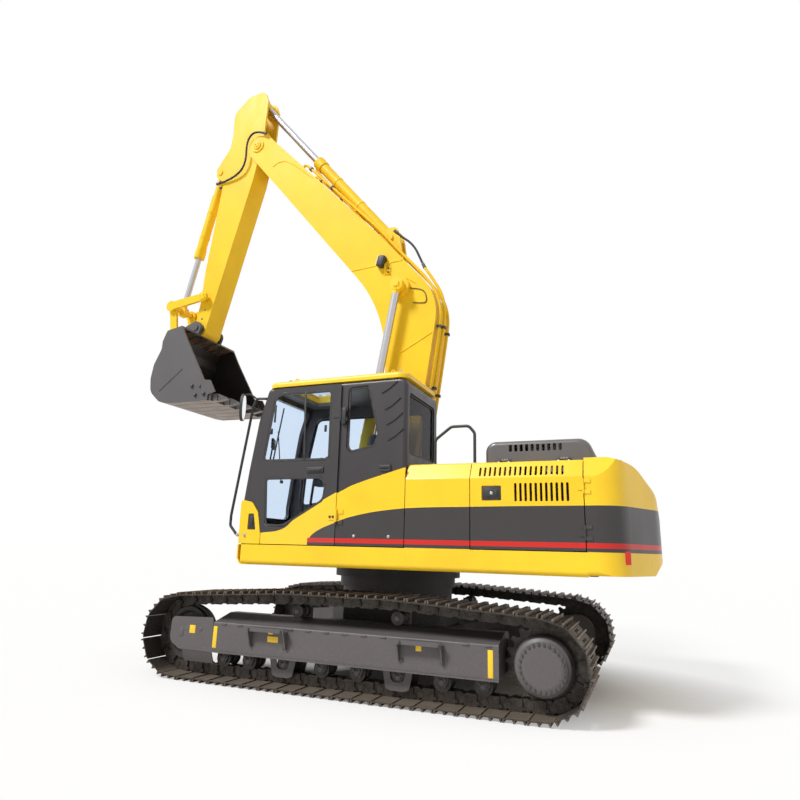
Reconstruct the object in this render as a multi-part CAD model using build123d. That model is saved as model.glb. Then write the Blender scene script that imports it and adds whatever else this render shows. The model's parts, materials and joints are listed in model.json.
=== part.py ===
from build123d import *
from math import acos, atan2, cos, hypot, pi, sin
import os

# Crawler excavator of the 20-22 t class. Millimetres, +X to the front (idlers, bucket),
# +Y to the machine's left (cab side), +Z up, the ground at Z = 0. Every X below is counted
# from the swing axis; swing_x moves the finished pieces so that the box round the whole
# machine is centred on the origin.
swing_x = -455.0

# --- clearances -------------------------------------------------------------------------
seat_gap = 0.3        # between pieces that sit on each other
pin_gap = 0.4         # round a pin or a rod in its hole
side_gap = 6.0        # beside a moving arm, link or eye
panel_gap = 8.0       # between body panels
hinge_gap = 0.5       # between the knuckles of a hinge
door_gap = 7.0        # round a door in its opening

# --- undercarriage ----------------------------------------------------------------------
gauge = 2380.0              # between the two tracks' centres
shoe_width = 600.0
shoe_count = 49
wheel_base = 3650.0         # idler centre to sprocket centre
wheel_height = 412.0        # of the idler's and sprocket's centre
pitch_radius = 322.3        # of the chain round idler and sprocket
link_half = 52.0            # half the height of a chain link
plate_thickness = 10.0      # of a shoe
grouser_height = 26.0
shoe_gap = 8.0
chain_overhang = 80.0        # ground run past the last roller
link_inner = 35.0           # from the chain's centre to a link rail
link_thickness = 34.0
roller_xs = [wheel_base * share for share in (0.3663, 0.2827, 0.1732, 0.0625, -0.0392, -0.1499, -0.2605, -0.36)]
guarded_xs = [roller_xs[2], roller_xs[5]]       # the rollers with a track guide
carrier_xs = [wheel_base * 0.145, wheel_base * -0.142]
strand_rise = 74.0          # of the top strand over the carriers, above the wheels
chain_slack = 3.5           # between the strand and a carrier
roller_radius = 64.0
roller_flange = 16.0
carrier_radius = 60.0
roller_shaft = 28.0
idler_web = 50.0
sprocket_teeth = 21
sprocket_thickness = 46.0
frame_bottom = 272.0        # side frame's lower edge
frame_shoulder = 553.0      # its outer face's upper edge
frame_top = 627.0           # its ridge
frame_front = wheel_base / 2 - 428
frame_rear = 351 - wheel_base / 2
frame_outer = 1400.0        # side frame's outer face, from the machine's centre
frame_inner = 1000.0
frame_ridge = 1150.0        # where the slope from the outer face meets the top
centre_bottom = 430.0       # centre frame
centre_top = 745.0
pedestal_top = 905.0
pedestal_radius = 610.0
bearing_outer = 645.0
bearing_inner = 560.0
bearing_height = 105.0
flange_radius = 700.0       # under the deck's floor

# --- upper structure --------------------------------------------------------------------
rail_bottom = 1117.0
rail_top = 1313.0
rail_sheet = 14.0
deck_thickness = 36.0
deck_bottom = rail_bottom + rail_sheet - deck_thickness
beam_low = rail_bottom + rail_sheet + seat_gap       # cross beams stand on the rails' lips
beam_high = beam_low + 44
floor_low = beam_high + seat_gap
floor_top = floor_low + 14 + seat_gap
side_y = 1370.0             # outer face of the side panels
skin = 22.0                 # body panel
house_front = 1235.0
cab_rear = -600.0
joint_x = -1225.0           # fixed panel to side door
weight_front = -2207.0
tail_radius = 2780.0
weight_bottom = 1130.0
weight_top = 2102.0
panel_bottom = 1321.0
shoulder_z = 1935.0
hood_z = 2085.0
hood_edge = 1290.0          # where the shoulder meets the top
boom_side = 430.0           # cab's and right boxes' wall beside the boom

# --- boom foot and cylinders (X, Z) -----------------------------------------------------
boom_foot = (0.0, 1930.0)
boom_cylinder_base = (500.0, 1420.0)
boom_cylinder_eye = (-30.0, 4445.0)
nose_pin = (2340.0, 7090.0)
stick_cylinder_base = (195.0, 5252.0)
stick_cylinder_eye = (2400.0, 7940.0)
bucket_cylinder_base = (3095.0, 6895.0)
link_pin = (3600.0, 4685.0)         # idler link, power link and bucket cylinder's rod
idler_pin = (3040.0, 4755.0)        # idler link on the stick
bucket_pin = (3094.0, 4290.0)
ear_pin = (3507.0, 4112.0)          # power link on the bucket

boom_half = 215.0           # half the boom's width
nose_plate = 42.0           # boom's ears at the nose
cheek = 30.0                # deck's plates beside the boom's foot
cheek_gap = 7.0
cheek_top = 1300.0          # of those plates under the engine
foot_radius = 165.0
nose_radius = 150.0
nose_boss = 104.0           # raised face round the nose pin
stick_half = 165.0
stick_wall = 32.0
stick_tip_radius = 108.0
link_thickness_y = 34.0
ear_thickness = 42.0
link_low = stick_half + side_gap                        # power link's arms beside the stick
idler_low = link_low + link_thickness_y + side_gap      # idler bars and bucket ears beside those
pin_radius = 45.0
boom_cylinder_y = 332.0     # from the centre to a boom cylinder
boom_tube_radius = 70.0
boom_rod_radius = 46.0
stick_tube_radius = 77.0
stick_rod_radius = 50.0
bucket_tube_radius = 66.0
bucket_rod_radius = 42.0
eye_radius = 82.0
eye_half = 48.0             # half the width of a cylinder's eye
neck = 150.0                # from a cylinder's base pin to its barrel
gland_length = 150.0

# --- bucket -----------------------------------------------------------------------------
bucket_half = 570.0
bucket_wall = 22.0
bucket_side = 26.0
tooth_count = 5

# --- cab --------------------------------------------------------------------------------
cab_outer = 1352.0
cab_inner = boom_side
cab_bottom = rail_top + seat_gap
cab_top = 2945.0
cab_wall = 45.0
roof_thickness = 65.0
door_rear = 113.0
door_front = 950.0
glass = 6.0
glass_gap = 0.8       # round a pane in its opening


# --- helpers ----------------------------------------------------------------------------
def outline(points, radii):
    """Closed face from corner points, each rounded by its radius (0 keeps it sharp)."""
    if isinstance(radii, (int, float)):
        radii = [radii] * len(points)
    if not any(radii):
        return make_face(Polyline(*points, close=True))
    return make_face(FilletPolyline(*points, radius=radii, close=True))


def pane(points, radii, inset, y_low, y_high):
    """Sheet seen from the side, smaller all round than the opening it fills."""
    face = offset(outline(points, radii), amount=-inset, kind=Kind.INTERSECTION)
    return Pos(0, y_high, 0) * extrude(Plane.XZ * face, amount=y_high - y_low)


def side_plate(points, radii, y_low, y_high):
    """Plate seen from the side: an X-Z outline between two Y planes."""
    return Pos(0, y_high, 0) * extrude(Plane.XZ * outline(points, radii), amount=y_high - y_low)


def floor_plate(points, radii, z_low, z_high):
    """Plate seen from above: an X-Y outline between two heights."""
    return Pos(0, 0, z_low) * extrude(outline(points, radii), amount=z_high - z_low)


def cross_bar(points, radii, x_low, x_high):
    """Bar seen from the front: a Y-Z outline between two X planes."""
    return Pos(x_low, 0, 0) * extrude(Plane.YZ * outline(points, radii), amount=x_high - x_low)


def block(x_low, x_high, y_low, y_high, z_low, z_high):
    centre = Pos((x_low + x_high) / 2, (y_low + y_high) / 2, (z_low + z_high) / 2)
    return centre * Box(x_high - x_low, y_high - y_low, z_high - z_low)


def pin(at, radius, y_low, y_high):
    """Round bar across the machine at a point (X, Z)."""
    axis = Plane(origin=(at[0], y_low, at[1]), z_dir=(0, 1, 0))
    return axis * extrude(Circle(radius), amount=y_high - y_low)


def upright(x, y, radius, z_low, z_high):
    return Pos(x, y, z_low) * extrude(Circle(radius), amount=z_high - z_low)


def round_bar(start, end, radius, inner=0.0):
    """Straight bar, or tube if inner is given, between two points."""
    run = Vector(*end) - Vector(*start)
    face = Circle(radius) - Circle(inner) if inner else Circle(radius)
    return Plane(origin=start, z_dir=run) * extrude(face, amount=run.length)


def bent_bar(points, bend, radius):
    """Round tube bent along straight runs."""
    path = FilletPolyline(*points, radius=bend)
    start = Plane(origin=path @ 0, z_dir=path % 0)
    return sweep(start * Circle(radius), path=path)


def turned(points, at, y):
    """Turned piece: (radius, offset) points round an axis across the machine through (X, Z)."""
    face = make_face(Polyline(*[(r, o) for r, o in points], close=True))
    axis = Plane(origin=(at[0], y, at[1]), x_dir=(1, 0, 0), z_dir=(0, 1, 0))
    return axis * revolve(Plane.XZ * face, axis=Axis.Z)


def both_sides(part):
    """The part and its mirror image across the machine's centre plane."""
    return [part, mirror(part, about=Plane.XZ)]


def along(start, end, distance, aside=0.0):
    """Point at a distance from start towards end, and aside to the left of that line."""
    length = hypot(end[0] - start[0], end[1] - start[1])
    run = ((end[0] - start[0]) / length, (end[1] - start[1]) / length)
    return (start[0] + run[0] * distance - run[1] * aside, start[1] + run[1] * distance + run[0] * aside)


# --- tracks -----------------------------------------------------------------------------
roller_z = grouser_height + plate_thickness + 2 * link_half + roller_radius + seat_gap
chain_low = grouser_height + plate_thickness + link_half     # chain's pins on the ground run
track_y = gauge / 2


def chain_corners():
    """Half the wheel base, where the ground run ends, and the angle where the rise meets the wheel."""
    half = wheel_base / 2
    touch = roller_xs[0] + chain_overhang
    drop = hypot(half - touch, wheel_height - chain_low)
    towards = atan2(chain_low - wheel_height, touch - half)
    return half, touch, towards + acos(pitch_radius / drop) + 2 * pi


def strand_tops():
    """Where the top strand's pins pass over the carriers, front one first."""
    return [(x, wheel_height + pitch_radius + strand_rise) for x in carrier_xs]


def strand_angle(to_carrier):
    """Angle on a wheel, from straight ahead, where the strand to a carrier leaves it."""
    reach, rise = to_carrier
    return atan2(rise, reach) - acos(pitch_radius / hypot(reach, rise))


def chain_runs():
    """The loop's runs, from the ground run's rear end: lengths, and the points that part the top strand."""
    half, touch, leave = chain_corners()
    end = (half + pitch_radius * cos(leave), wheel_height + pitch_radius * sin(leave))
    rise = hypot(end[0] - touch, end[1] - chain_low)
    tops = strand_tops()
    front = strand_angle((tops[0][0] - half, tops[0][1] - wheel_height))
    rear = pi - strand_angle((-half - tops[-1][0], tops[-1][1] - wheel_height))
    start = (half + pitch_radius * cos(front), wheel_height + pitch_radius * sin(front))
    finish = (pitch_radius * cos(rear) - half, wheel_height + pitch_radius * sin(rear))
    strand = [start] + tops + [finish]
    return 2 * touch, rise, front + 2 * pi - leave, strand, 3 * pi - leave - rear, rear


def run_length(points):
    return sum(hypot(b[0] - a[0], b[1] - a[1]) for a, b in zip(points, points[1:]))


def chain_length():
    ground, rise, front_turn, strand, rear_turn, _ = chain_runs()
    return ground + 2 * rise + run_length(strand) + pitch_radius * (front_turn + rear_turn)


def chain_point(distance):
    """(X, Z) of the chain's line at a distance along its loop, from the ground run's rear end."""
    half, touch, leave = chain_corners()
    ground, rise, front_turn, strand, rear_turn, rear = chain_runs()
    end = (half + pitch_radius * cos(leave), wheel_height + pitch_radius * sin(leave))
    if distance < ground:
        return distance - touch, chain_low
    distance -= ground
    if distance < rise:
        return along((touch, chain_low), end, distance)
    distance -= rise
    if distance < front_turn * pitch_radius:
        angle = leave + distance / pitch_radius
        return half + pitch_radius * cos(angle), wheel_height + pitch_radius * sin(angle)
    distance -= front_turn * pitch_radius
    for start, finish in zip(strand, strand[1:]):
        length = run_length([start, finish])
        if distance < length:
            return along(start, finish, distance)
        distance -= length
    if distance < rear_turn * pitch_radius:
        angle = rear + distance / pitch_radius
        return pitch_radius * cos(angle) - half, wheel_height + pitch_radius * sin(angle)
    return along((-end[0], end[1]), (-touch, chain_low), distance - rear_turn * pitch_radius)


def chain_pins():
    pitch = chain_length() / shoe_count
    return [chain_point((i + 0.5) * pitch) for i in range(shoe_count)]


def without_straight_corners(points):
    kept = []
    for i, here in enumerate(points):
        before, after = points[i - 1], points[(i + 1) % len(points)]
        cross = (here[0] - before[0]) * (after[1] - here[1]) - (here[1] - before[1]) * (after[0] - here[0])
        if abs(cross) > 1.0:
            kept.append(here)
    return kept


def chain_offset(outward):
    """Loop beside the chain's pins: each pin moved outward along its bisector."""
    pins = chain_pins()
    moved = []
    for i, here in enumerate(pins):
        before, after = pins[i - 1], pins[(i + 1) % len(pins)]
        run_in = atan2(here[1] - before[1], here[0] - before[0])
        run_out = atan2(after[1] - here[1], after[0] - here[0])
        half_turn = ((run_out - run_in + pi) % (2 * pi) - pi) / 2
        normal = run_in + half_turn - pi / 2
        reach = outward / cos(half_turn)
        moved.append((here[0] + reach * cos(normal), here[1] + reach * sin(normal)))
    return without_straight_corners(moved)


def shoe_profiles():
    """Side of each link's triple-grouser shoe, a plate on the links with a gap to the next."""
    pins = chain_pins()
    profiles = []
    for i, start in enumerate(pins):
        end = pins[(i + 1) % len(pins)]
        half = hypot(end[0] - start[0], end[1] - start[1]) / 2 - shoe_gap / 2
        top = link_half + plate_thickness
        tip = top + grouser_height
        profile = [
            (-half, link_half), (-half, tip), (-half + 11, tip), (-half + 20, top),
            (-12, top), (-6, tip), (6, tip), (12, top),
            (half - 20, top), (half - 11, tip), (half, tip), (half, link_half),
        ]
        middle = ((start[0] + end[0]) / 2, (start[1] + end[1]) / 2)
        profiles.append([along(middle, end, run, -out) for run, out in profile])
    return profiles


def track(side):
    """One loop: two rails of links with the shoes across them."""
    low = side * track_y - shoe_width / 2
    rail_outer = make_face(Polyline(*chain_offset(link_half + 3), close=True))
    rail_inner = make_face(Polyline(*chain_offset(-link_half), close=True))
    rail = Plane.XZ * (rail_outer - rail_inner)
    rails = [Pos(0, side * track_y + offset, 0) * extrude(rail, amount=link_thickness)
             for offset in (link_inner + link_thickness, -link_inner)]
    shoes = [side_plate(profile, 0, low, low + shoe_width) for profile in shoe_profiles()]
    return (rails[0] + rails[1]) + shoes


def side_frame(side):
    """Box beam with the idler's yoke, the final drive's bracket, guides, guard and steps."""
    inner = frame_inner
    outer = frame_outer
    section = [
        (inner, frame_bottom), (outer, frame_bottom), (outer, frame_shoulder),
        (frame_ridge, frame_top), (inner + 40, frame_top), (inner, frame_top - 40),
    ]
    beam = cross_bar(section, [0, 12, 16, 60, 0, 0], frame_rear, frame_front)
    lower_lip = block(frame_rear, frame_front, outer - 12, outer + 10, frame_bottom, frame_bottom + 14)
    beam = beam + lower_lip
    channel = block(frame_rear - 1, frame_front + 1, track_y - 112, track_y + 112, frame_bottom - 1, frame_bottom + 34)
    beam = beam - channel
    yoke_tip = wheel_base / 2 + 90
    yoke = [(frame_front - 60, wheel_height - 100), (yoke_tip, wheel_height - 60),
            (yoke_tip, wheel_height + 60), (frame_front - 60, wheel_height + 110)]
    for y in (track_y - 130, track_y + 96):
        beam = beam + side_plate(yoke, [0, 50, 50, 0], y, y + 34)
    hub = (-wheel_base / 2, wheel_height)
    drive_plate = [(frame_rear + 60, frame_bottom + 10), (frame_rear + 60, frame_shoulder),
                   (hub[0], wheel_height + 205), (hub[0] - 205, wheel_height + 205),
                   (hub[0] - 205, wheel_height - 205), (hub[0], wheel_height - 205)]
    beam = beam + side_plate(drive_plate, [0, 0, 60, 160, 160, 60], inner + 10, inner + 46)
    nose = wheel_base / 2
    guard = [(frame_front - 4, frame_bottom), (frame_front + 10, frame_shoulder + 42),
             (nose + 100, frame_shoulder + 24), (nose + 108, frame_bottom + 72), (nose - 20, frame_bottom + 2)]
    beam = beam + side_plate(guard, [0, 30, 50, 90, 60], outer - 14, outer)
    apron = cross_bar([(outer - 14, frame_bottom + 8), (outer, frame_bottom + 8),
                       (outer - 50, frame_bottom - 112), (outer - 64, frame_bottom - 112)], 0,
                      frame_front + 10, nose - 60)
    beam = beam + apron
    for x in guarded_xs:
        for y in (track_y - 118, track_y + 106):
            guide = [(x - 150, frame_bottom + 20), (x - 110, 112), (x - 60, 96), (x + 60, 96),
                     (x + 110, 112), (x + 150, frame_bottom + 20), (x + 84, frame_bottom + 20),
                     (x + 58, 168), (x - 58, 168), (x - 84, frame_bottom + 20)]
            beam = beam + side_plate(guide, [0, 20, 20, 20, 20, 0, 0, 44, 44, 0], y, y + 12)
    for x in (745, -795):
        beam = beam + step_bracket(x)
    for x in carrier_xs:
        beam = beam + block(x - 60, x + 60, track_y - 124, track_y - 96 - seat_gap, frame_top - 40, carrier_z() + 40)
    return beam if side > 0 else mirror(beam, about=Plane.XZ)


def carrier_z():
    return wheel_height + pitch_radius + strand_rise - link_half - chain_slack - carrier_radius


def step_bracket(x):
    """Boarding step on the side frame: a ledge between two gussets."""
    y = frame_outer
    z = frame_shoulder - 34
    ledge = block(x - 205, x + 205, y - 2, y + 78, z - 12, z)
    lip = block(x - 205, x + 205, y + 66, y + 78, z, z + 26)
    gusset = [(y - 2, z), (y + 78, z), (y + 20, z - 160), (y - 2, z - 160)]
    step = ledge + lip
    for gusset_x in (x - 205, x + 193):
        step = step + cross_bar(gusset, 0, gusset_x, gusset_x + 12)
    return step


def roller(x, side):
    """Track roller: flanged treads on a shaft, hung in two collars under the side frame."""
    tread, flange, body = roller_radius, roller_radius + roller_flange, roller_radius - 18
    rail = link_inner + link_thickness + 4
    half = [(0, 0), (body, 0), (body, link_inner - 8), (tread, link_inner - 3), (tread, rail),
            (flange, rail + 2), (flange, rail + 12), (roller_shaft, rail + 12), (roller_shaft, 96), (0, 96)]
    wheel = turned(half, (x, roller_z), side * track_y)
    wheel = wheel + mirror(wheel, about=Plane(origin=(0, side * track_y, 0), z_dir=(0, 1, 0)))
    for y in (track_y - 104, track_y + 86):
        collar = [(x - 62, frame_bottom + 33.5), (x - 62, roller_z + 10), (x - 34, roller_z - 44),
                  (x + 34, roller_z - 44), (x + 62, roller_z + 10), (x + 62, frame_bottom + 33.5)]
        plate = side_plate(collar, [0, 8, 26, 26, 8, 0], y, y + 18)
        wheel = wheel + (plate if side > 0 else mirror(plate, about=Plane.XZ))
    return wheel


def carrier(x, side):
    rail = link_inner + link_thickness
    z = carrier_z()
    half = [(0, -96), (24, -96), (24, -rail - 10), (carrier_radius, -rail - 8), (carrier_radius, -link_inner + 6),
            (carrier_radius - 14, -link_inner + 12), (carrier_radius - 14, link_inner - 12),
            (carrier_radius, link_inner - 6), (carrier_radius, rail + 8), (26, rail + 20), (0, rail + 20)]
    wheel = turned(half, (x, z), track_y)
    return wheel if side > 0 else mirror(wheel, about=Plane.XZ)


def rollers(side):
    return [roller(x, side) for x in roller_xs] + [carrier(x, side) for x in carrier_xs]


def wheel_rim():
    """Radius that the links' straight inner edges just touch where the chain goes round."""
    return pitch_radius * cos(chain_length() / shoe_count / 2 / pitch_radius) - link_half


def idler(side):
    rim = wheel_rim() - seat_gap
    flange = rim + 20
    half = [(0, 0), (flange, 0), (flange, link_inner - 8), (rim, link_inner - 4), (rim, 74), (rim - 40, 74),
            (rim - 62, idler_web / 2), (110, idler_web / 2), (92, 88), (40, 88), (40, 94), (0, 94)]
    at = (wheel_base / 2, wheel_height)
    wheel = turned(half, at, side * track_y)
    return wheel + mirror(wheel, about=Plane(origin=(0, side * track_y, 0), z_dir=(0, 1, 0)))


def sprocket(side):
    root, tip = pitch_radius - 32, pitch_radius + 14
    step = 2 * pi / sprocket_teeth
    points = []
    for i in range(sprocket_teeth):
        for share, radius in ((-0.34, root), (-0.12, tip), (0.12, tip), (0.34, root)):
            angle = (i + share) * step
            points.append((-wheel_base / 2 + radius * cos(angle), wheel_height + radius * sin(angle)))
    ring = side_plate(points, 0, side * track_y - sprocket_thickness / 2, side * track_y + sprocket_thickness / 2)
    hole = pin((-wheel_base / 2, wheel_height), 205, side * track_y - 60, side * track_y + 60)
    return ring - hole


def final_drive(side):
    """Travel motor's housing and the drum that turns with the sprocket."""
    half = [(0, -144), (190, -144), (190, -sprocket_thickness / 2), (204.7, -sprocket_thickness / 2),
            (204.7, sprocket_thickness / 2), (228, sprocket_thickness / 2 + seat_gap), (240, 60),
            (240, 130), (222, 196), (196, 212), (196, 228), (150, 235), (0, 235)]
    at = (-wheel_base / 2, wheel_height)
    drum = turned(half, at, track_y)
    return drum if side > 0 else mirror(drum, about=Plane.XZ)


def car_body():
    """X-shaped centre frame with the pedestal of the swing bearing."""
    quarter = [(680, 300), (1080, frame_inner - seat_gap), (560, frame_inner - seat_gap), (280, 600)]
    left = quarter + [(-x, y) for x, y in reversed(quarter)]
    points = left + [(-x, -y) for x, y in left]
    body = floor_plate(points, 0, centre_bottom, centre_bottom + 84)
    body = body + floor_plate([(620, 360), (360, 620), (-360, 620), (-620, 360),
                               (-620, -360), (-360, -620), (360, -620), (620, -360)], 0, centre_bottom + 74, centre_top)
    return body + upright(0, 0, pedestal_radius, centre_top - 10, pedestal_top)


def swing_bearing():
    ring = Circle(bearing_outer) - Circle(bearing_inner)
    return Pos(0, 0, pedestal_top + seat_gap) * extrude(ring, amount=bearing_height)


# --- upper structure --------------------------------------------------------------------
def deck_floor():
    """Floor plate of the main frame on the bearing's flange, with the spigot inside the ring."""
    bearing_top = pedestal_top + seat_gap + bearing_height
    floor = upright(0, 0, bearing_inner - 8, pedestal_top + 20, deck_bottom + 2)
    floor = floor + upright(0, 0, flange_radius, bearing_top + seat_gap, deck_bottom + 2)
    plan = [(940, 480), (760, 620), (-760, 620), (-940, 480), (weight_front, 480),
            (weight_front, -480), (-940, -480), (-760, -620), (760, -620), (940, -480)]
    return floor + floor_plate(plan, 0, deck_bottom, deck_bottom + deck_thickness)


def boom_cheeks():
    """Two plates on the floor that carry the boom's foot and, behind it, the engine."""
    low = deck_bottom + deck_thickness + seat_gap
    foot, base = boom_foot, boom_cylinder_base
    plate = [(base[0] + 300, low), (base[0] + 95, base[1] + 95), (base[0] - 95, base[1] + 95),
             (foot[0] + 190, foot[1] + 170), (foot[0] - 190, foot[1] + 170),
             (foot[0] - 560, 1480), (foot[0] - 760, cheek_top), (weight_front, cheek_top),
             (weight_front, low)]
    cheek_low = boom_half + cheek_gap
    cheek_high = cheek_low + cheek
    left = side_plate(plate, [0, 80, 120, 170, 170, 100, 100, 0, 0], cheek_low, cheek_high)
    left = left + pin(foot, 105, cheek_high - 1, cheek_high + 34)
    left = left - pin(foot, pin_radius + 10 + pin_gap, cheek_low - 5, cheek_high + 60)
    return both_sides(left)


def deck_beams():
    """Cross beams from the cheeks to the rails, and the floor sheets on them."""
    inner = boom_half + cheek_gap + cheek + seat_gap
    pieces = []
    for x in (880, 60, -780, -1500, weight_front + 70):
        pieces += both_sides(block(x - 60, x + 60, inner, side_y - 60, beam_low, beam_high))
    sheet = block(weight_front, house_front - 221, boom_side + 15, side_y - 40, floor_low, floor_low + 14)
    return pieces + both_sides(sheet)


def side_rails():
    """Painted rails along both sides, with the rounded front end and its two ribs."""
    sheet = rail_sheet
    section = [(side_y - sheet, rail_top), (side_y, rail_top), (side_y, rail_bottom), (side_y - 150, rail_bottom),
               (side_y - 150, rail_bottom + sheet), (side_y - sheet, rail_bottom + sheet)]
    rail = cross_bar(section, [0, 0, 46, 0, 0, 32], weight_front, house_front - 60)
    front = [(house_front - 130, rail_bottom), (house_front - 40, rail_bottom), (house_front, rail_bottom + 60),
             (house_front, rail_top), (house_front - sheet, rail_top), (house_front - sheet, rail_bottom + 64),
             (house_front - 46, rail_bottom + sheet), (house_front - 130, rail_bottom + sheet)]
    rail = rail + side_plate(front, [0, 30, 40, 0, 0, 30, 20, 0], boom_side, side_y - 20)
    for y in (boom_side, side_y - 70):
        rail = rail + block(house_front - 220, house_front - 10, y, y + 14, rail_bottom + 10, rail_top)
    return both_sides(rail)


def boom_foot_pin():
    reach = boom_half + cheek_gap + cheek + 40
    bar = pin(boom_foot, pin_radius + 10, -reach, reach)
    return bar + pin(boom_foot, 78, reach, reach + 12) + pin(boom_foot, 78, -reach - 12, -reach)


def cylinder_brackets():
    """Forks on the front of the deck for the boom cylinders' lower ends, with their pins."""
    base = boom_cylinder_base
    ear = [(base[0] - 80, base[1] - 60), (base[0] - 80, base[1] + 80), (base[0] + 80, base[1] + 80),
           (base[0] + 170, floor_top), (base[0] - 190, floor_top)]
    inner = boom_half + cheek_gap + cheek + seat_gap
    outer = boom_cylinder_y + eye_half + side_gap
    bracket = side_plate(ear, [30, 78, 78, 0, 0], outer, outer + 26)
    foot = block(base[0] - 190, base[0] + 170, inner, outer + 26, floor_top, floor_top + 24)
    bar = pin(base, pin_radius, inner, outer + 40)
    return both_sides(bracket + foot + bar)


def engine():
    return block(-2080, -1330, -760, 820, cheek_top + seat_gap, 1960)


side_hinge = (weight_front + 6.0, side_y + 9.0)
side_knuckle = 8.0
side_hinge_zs = [1440.0, 1820.0]


def along_row(first, step, count):
    return [first + i * step for i in range(count)]


def side_skin(x_low, x_high, side, z_low=None, thickness=None):
    """Body side with its upper part leaning in to the top."""
    z_low = panel_bottom if z_low is None else z_low
    thickness = skin if thickness is None else thickness
    points = [(side_y, z_low), (side_y, shoulder_z), (hood_edge, hood_z),
              (hood_edge - thickness, hood_z - 2), (side_y - thickness, shoulder_z - 4),
              (side_y - thickness, z_low)]
    panel = cross_bar(points, [0, 40, 20, 0, 20, 0], x_low, x_high)
    return panel if side > 0 else mirror(panel, about=Plane.XZ)


def side_panel_left():
    return side_skin(joint_x + panel_gap / 2, cab_rear - panel_gap, 1, rail_top + seat_gap)


def side_door(side):
    """Engine-bay door: two rows of vent slots, a latch's recess and its hinge knuckles."""
    x_low, x_high = weight_front + panel_gap, joint_x - panel_gap / 2
    door = side_skin(x_low, x_high, side)
    cuts = [side_plate([(x - 22, 1727), (x, 1727), (x, 1885), (x - 22, 1885)], 9, side_y - 60, side_y + 5)
            for x in along_row(-1622, -44, 11)]
    cuts += [side_plate([(x - 20, 1950), (x, 1950), (x, 2036), (x - 20, 2036)], 8, hood_edge - 70, side_y + 5)
             for x in along_row(-1304, -45, 17)]
    cuts.append(side_plate([(-1508, 1734), (-1332, 1734), (-1332, 1868), (-1508, 1868)], 14,
                           side_y - 12, side_y + 5))
    for cut in cuts:
        door = door - (cut if side > 0 else mirror(cut, about=Plane.XZ))
    for z in side_hinge_zs:
        hinge = upright(side_hinge[0], side_hinge[1], side_knuckle, z, z + 60)
        hinge = hinge + block(side_hinge[0], side_hinge[0] + 50, side_y, side_hinge[1], z, z + 60)
        door = door + (hinge if side > 0 else mirror(hinge, about=Plane.XZ))
    return door


def side_hinges():
    """Fixed halves of the side doors' hinges, on the counterweight's flanks."""
    halves = []
    for z in side_hinge_zs:
        for low in (z - 30 - hinge_gap, z + 60 + hinge_gap):
            leaf = upright(side_hinge[0], side_hinge[1], side_knuckle, low, low + 30)
            leaf = leaf + block(weight_front - 50, side_hinge[0], side_y + seat_gap, side_hinge[1], low, low + 30)
            halves += both_sides(leaf)
    return halves


engine_cover_front = -1306.0
engine_cover_rear = -2312.0
engine_cover_side = 1120.0
engine_cover_top = 2306.0
cover_seat = weight_top + seat_gap          # the lid's edge stands on the coaming and the counterweight
cover_hinge = (engine_cover_side + 14.0, weight_top + 16.0)
cover_hinge_xs = [-1492.0, -2026.0]


def hood_deck():
    """Top plates from the cab to the counterweight, with a coaming round the opening under the lid."""
    edge = hood_edge - skin - 6
    side = engine_cover_side
    top = block(weight_front + panel_gap, cab_rear - panel_gap, -edge, edge, hood_z - 24, hood_z)
    low, high = weight_front + 60, engine_cover_front - 50
    coaming = block(weight_front + panel_gap, engine_cover_front, -side, side, hood_z - 2, weight_top)
    top = top + coaming - block(low, high, -side + 50, side - 50, hood_z - 30, weight_top + 5)
    wall = block(cab_rear - 32, cab_rear - panel_gap, boom_side - 40, edge, floor_top, hood_z - 23)
    bulkhead = block(joint_x - 40, joint_x - 16, -edge, edge, cheek_top + seat_gap, hood_z - 23)
    return top + wall + bulkhead


def engine_cover():
    """Rounded lid over the engine, open below, with a row of slots each side and its hinge knuckles."""
    front, rear, side, top = engine_cover_front, engine_cover_rear, engine_cover_side, engine_cover_top
    low = cover_seat
    shape = [(front, low), (front, top), (rear + 84, top), (rear, low)]
    lid = side_plate(shape, [0, 100, 120, 0], -side, side)
    lid = fillet(lid.edges().filter_by(Axis.X).group_by(Axis.Z)[-1], 46)
    inside = [(front - 24, low - 5), (front - 24, top - 22), (rear + 100, top - 22), (rear + 24, low - 5)]
    lid = lid - side_plate(inside, [0, 80, 100, 0], -side + 24, side - 24)
    for x in along_row(front - 225, -50, 10):
        slot = side_plate([(x - 28, top - 104), (x, top - 104), (x, top - 40), (x - 28, top - 40)], 8,
                          side - 60, side + 5)
        for cut in both_sides(slot):
            lid = lid - cut
    for x in cover_hinge_xs:
        lid = lid + round_bar((x - 30, *cover_hinge), (x + 30, *cover_hinge), 10)
        lid = lid + block(x - 30, x + 30, side - 2, cover_hinge[0], cover_hinge[1] - 4, cover_hinge[1] + 10)
    return lid


def cover_hinges():
    """Fixed halves of the lid's hinges, on the top plate beside it."""
    halves = []
    for x in cover_hinge_xs:
        for low in (x - 60 - hinge_gap, x + 30 + hinge_gap):
            leaf = round_bar((low, *cover_hinge), (low + 30, *cover_hinge), 10)
            foot = block(low, low + 30, cover_hinge[0] - 8, cover_hinge[0] + 50, hood_z + seat_gap, hood_z + 12)
            neck_plate = block(low, low + 30, cover_hinge[0] - 8, cover_hinge[0] + 8, hood_z + 6, cover_hinge[1])
            halves.append(leaf + foot + neck_plate)
    return halves


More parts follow.
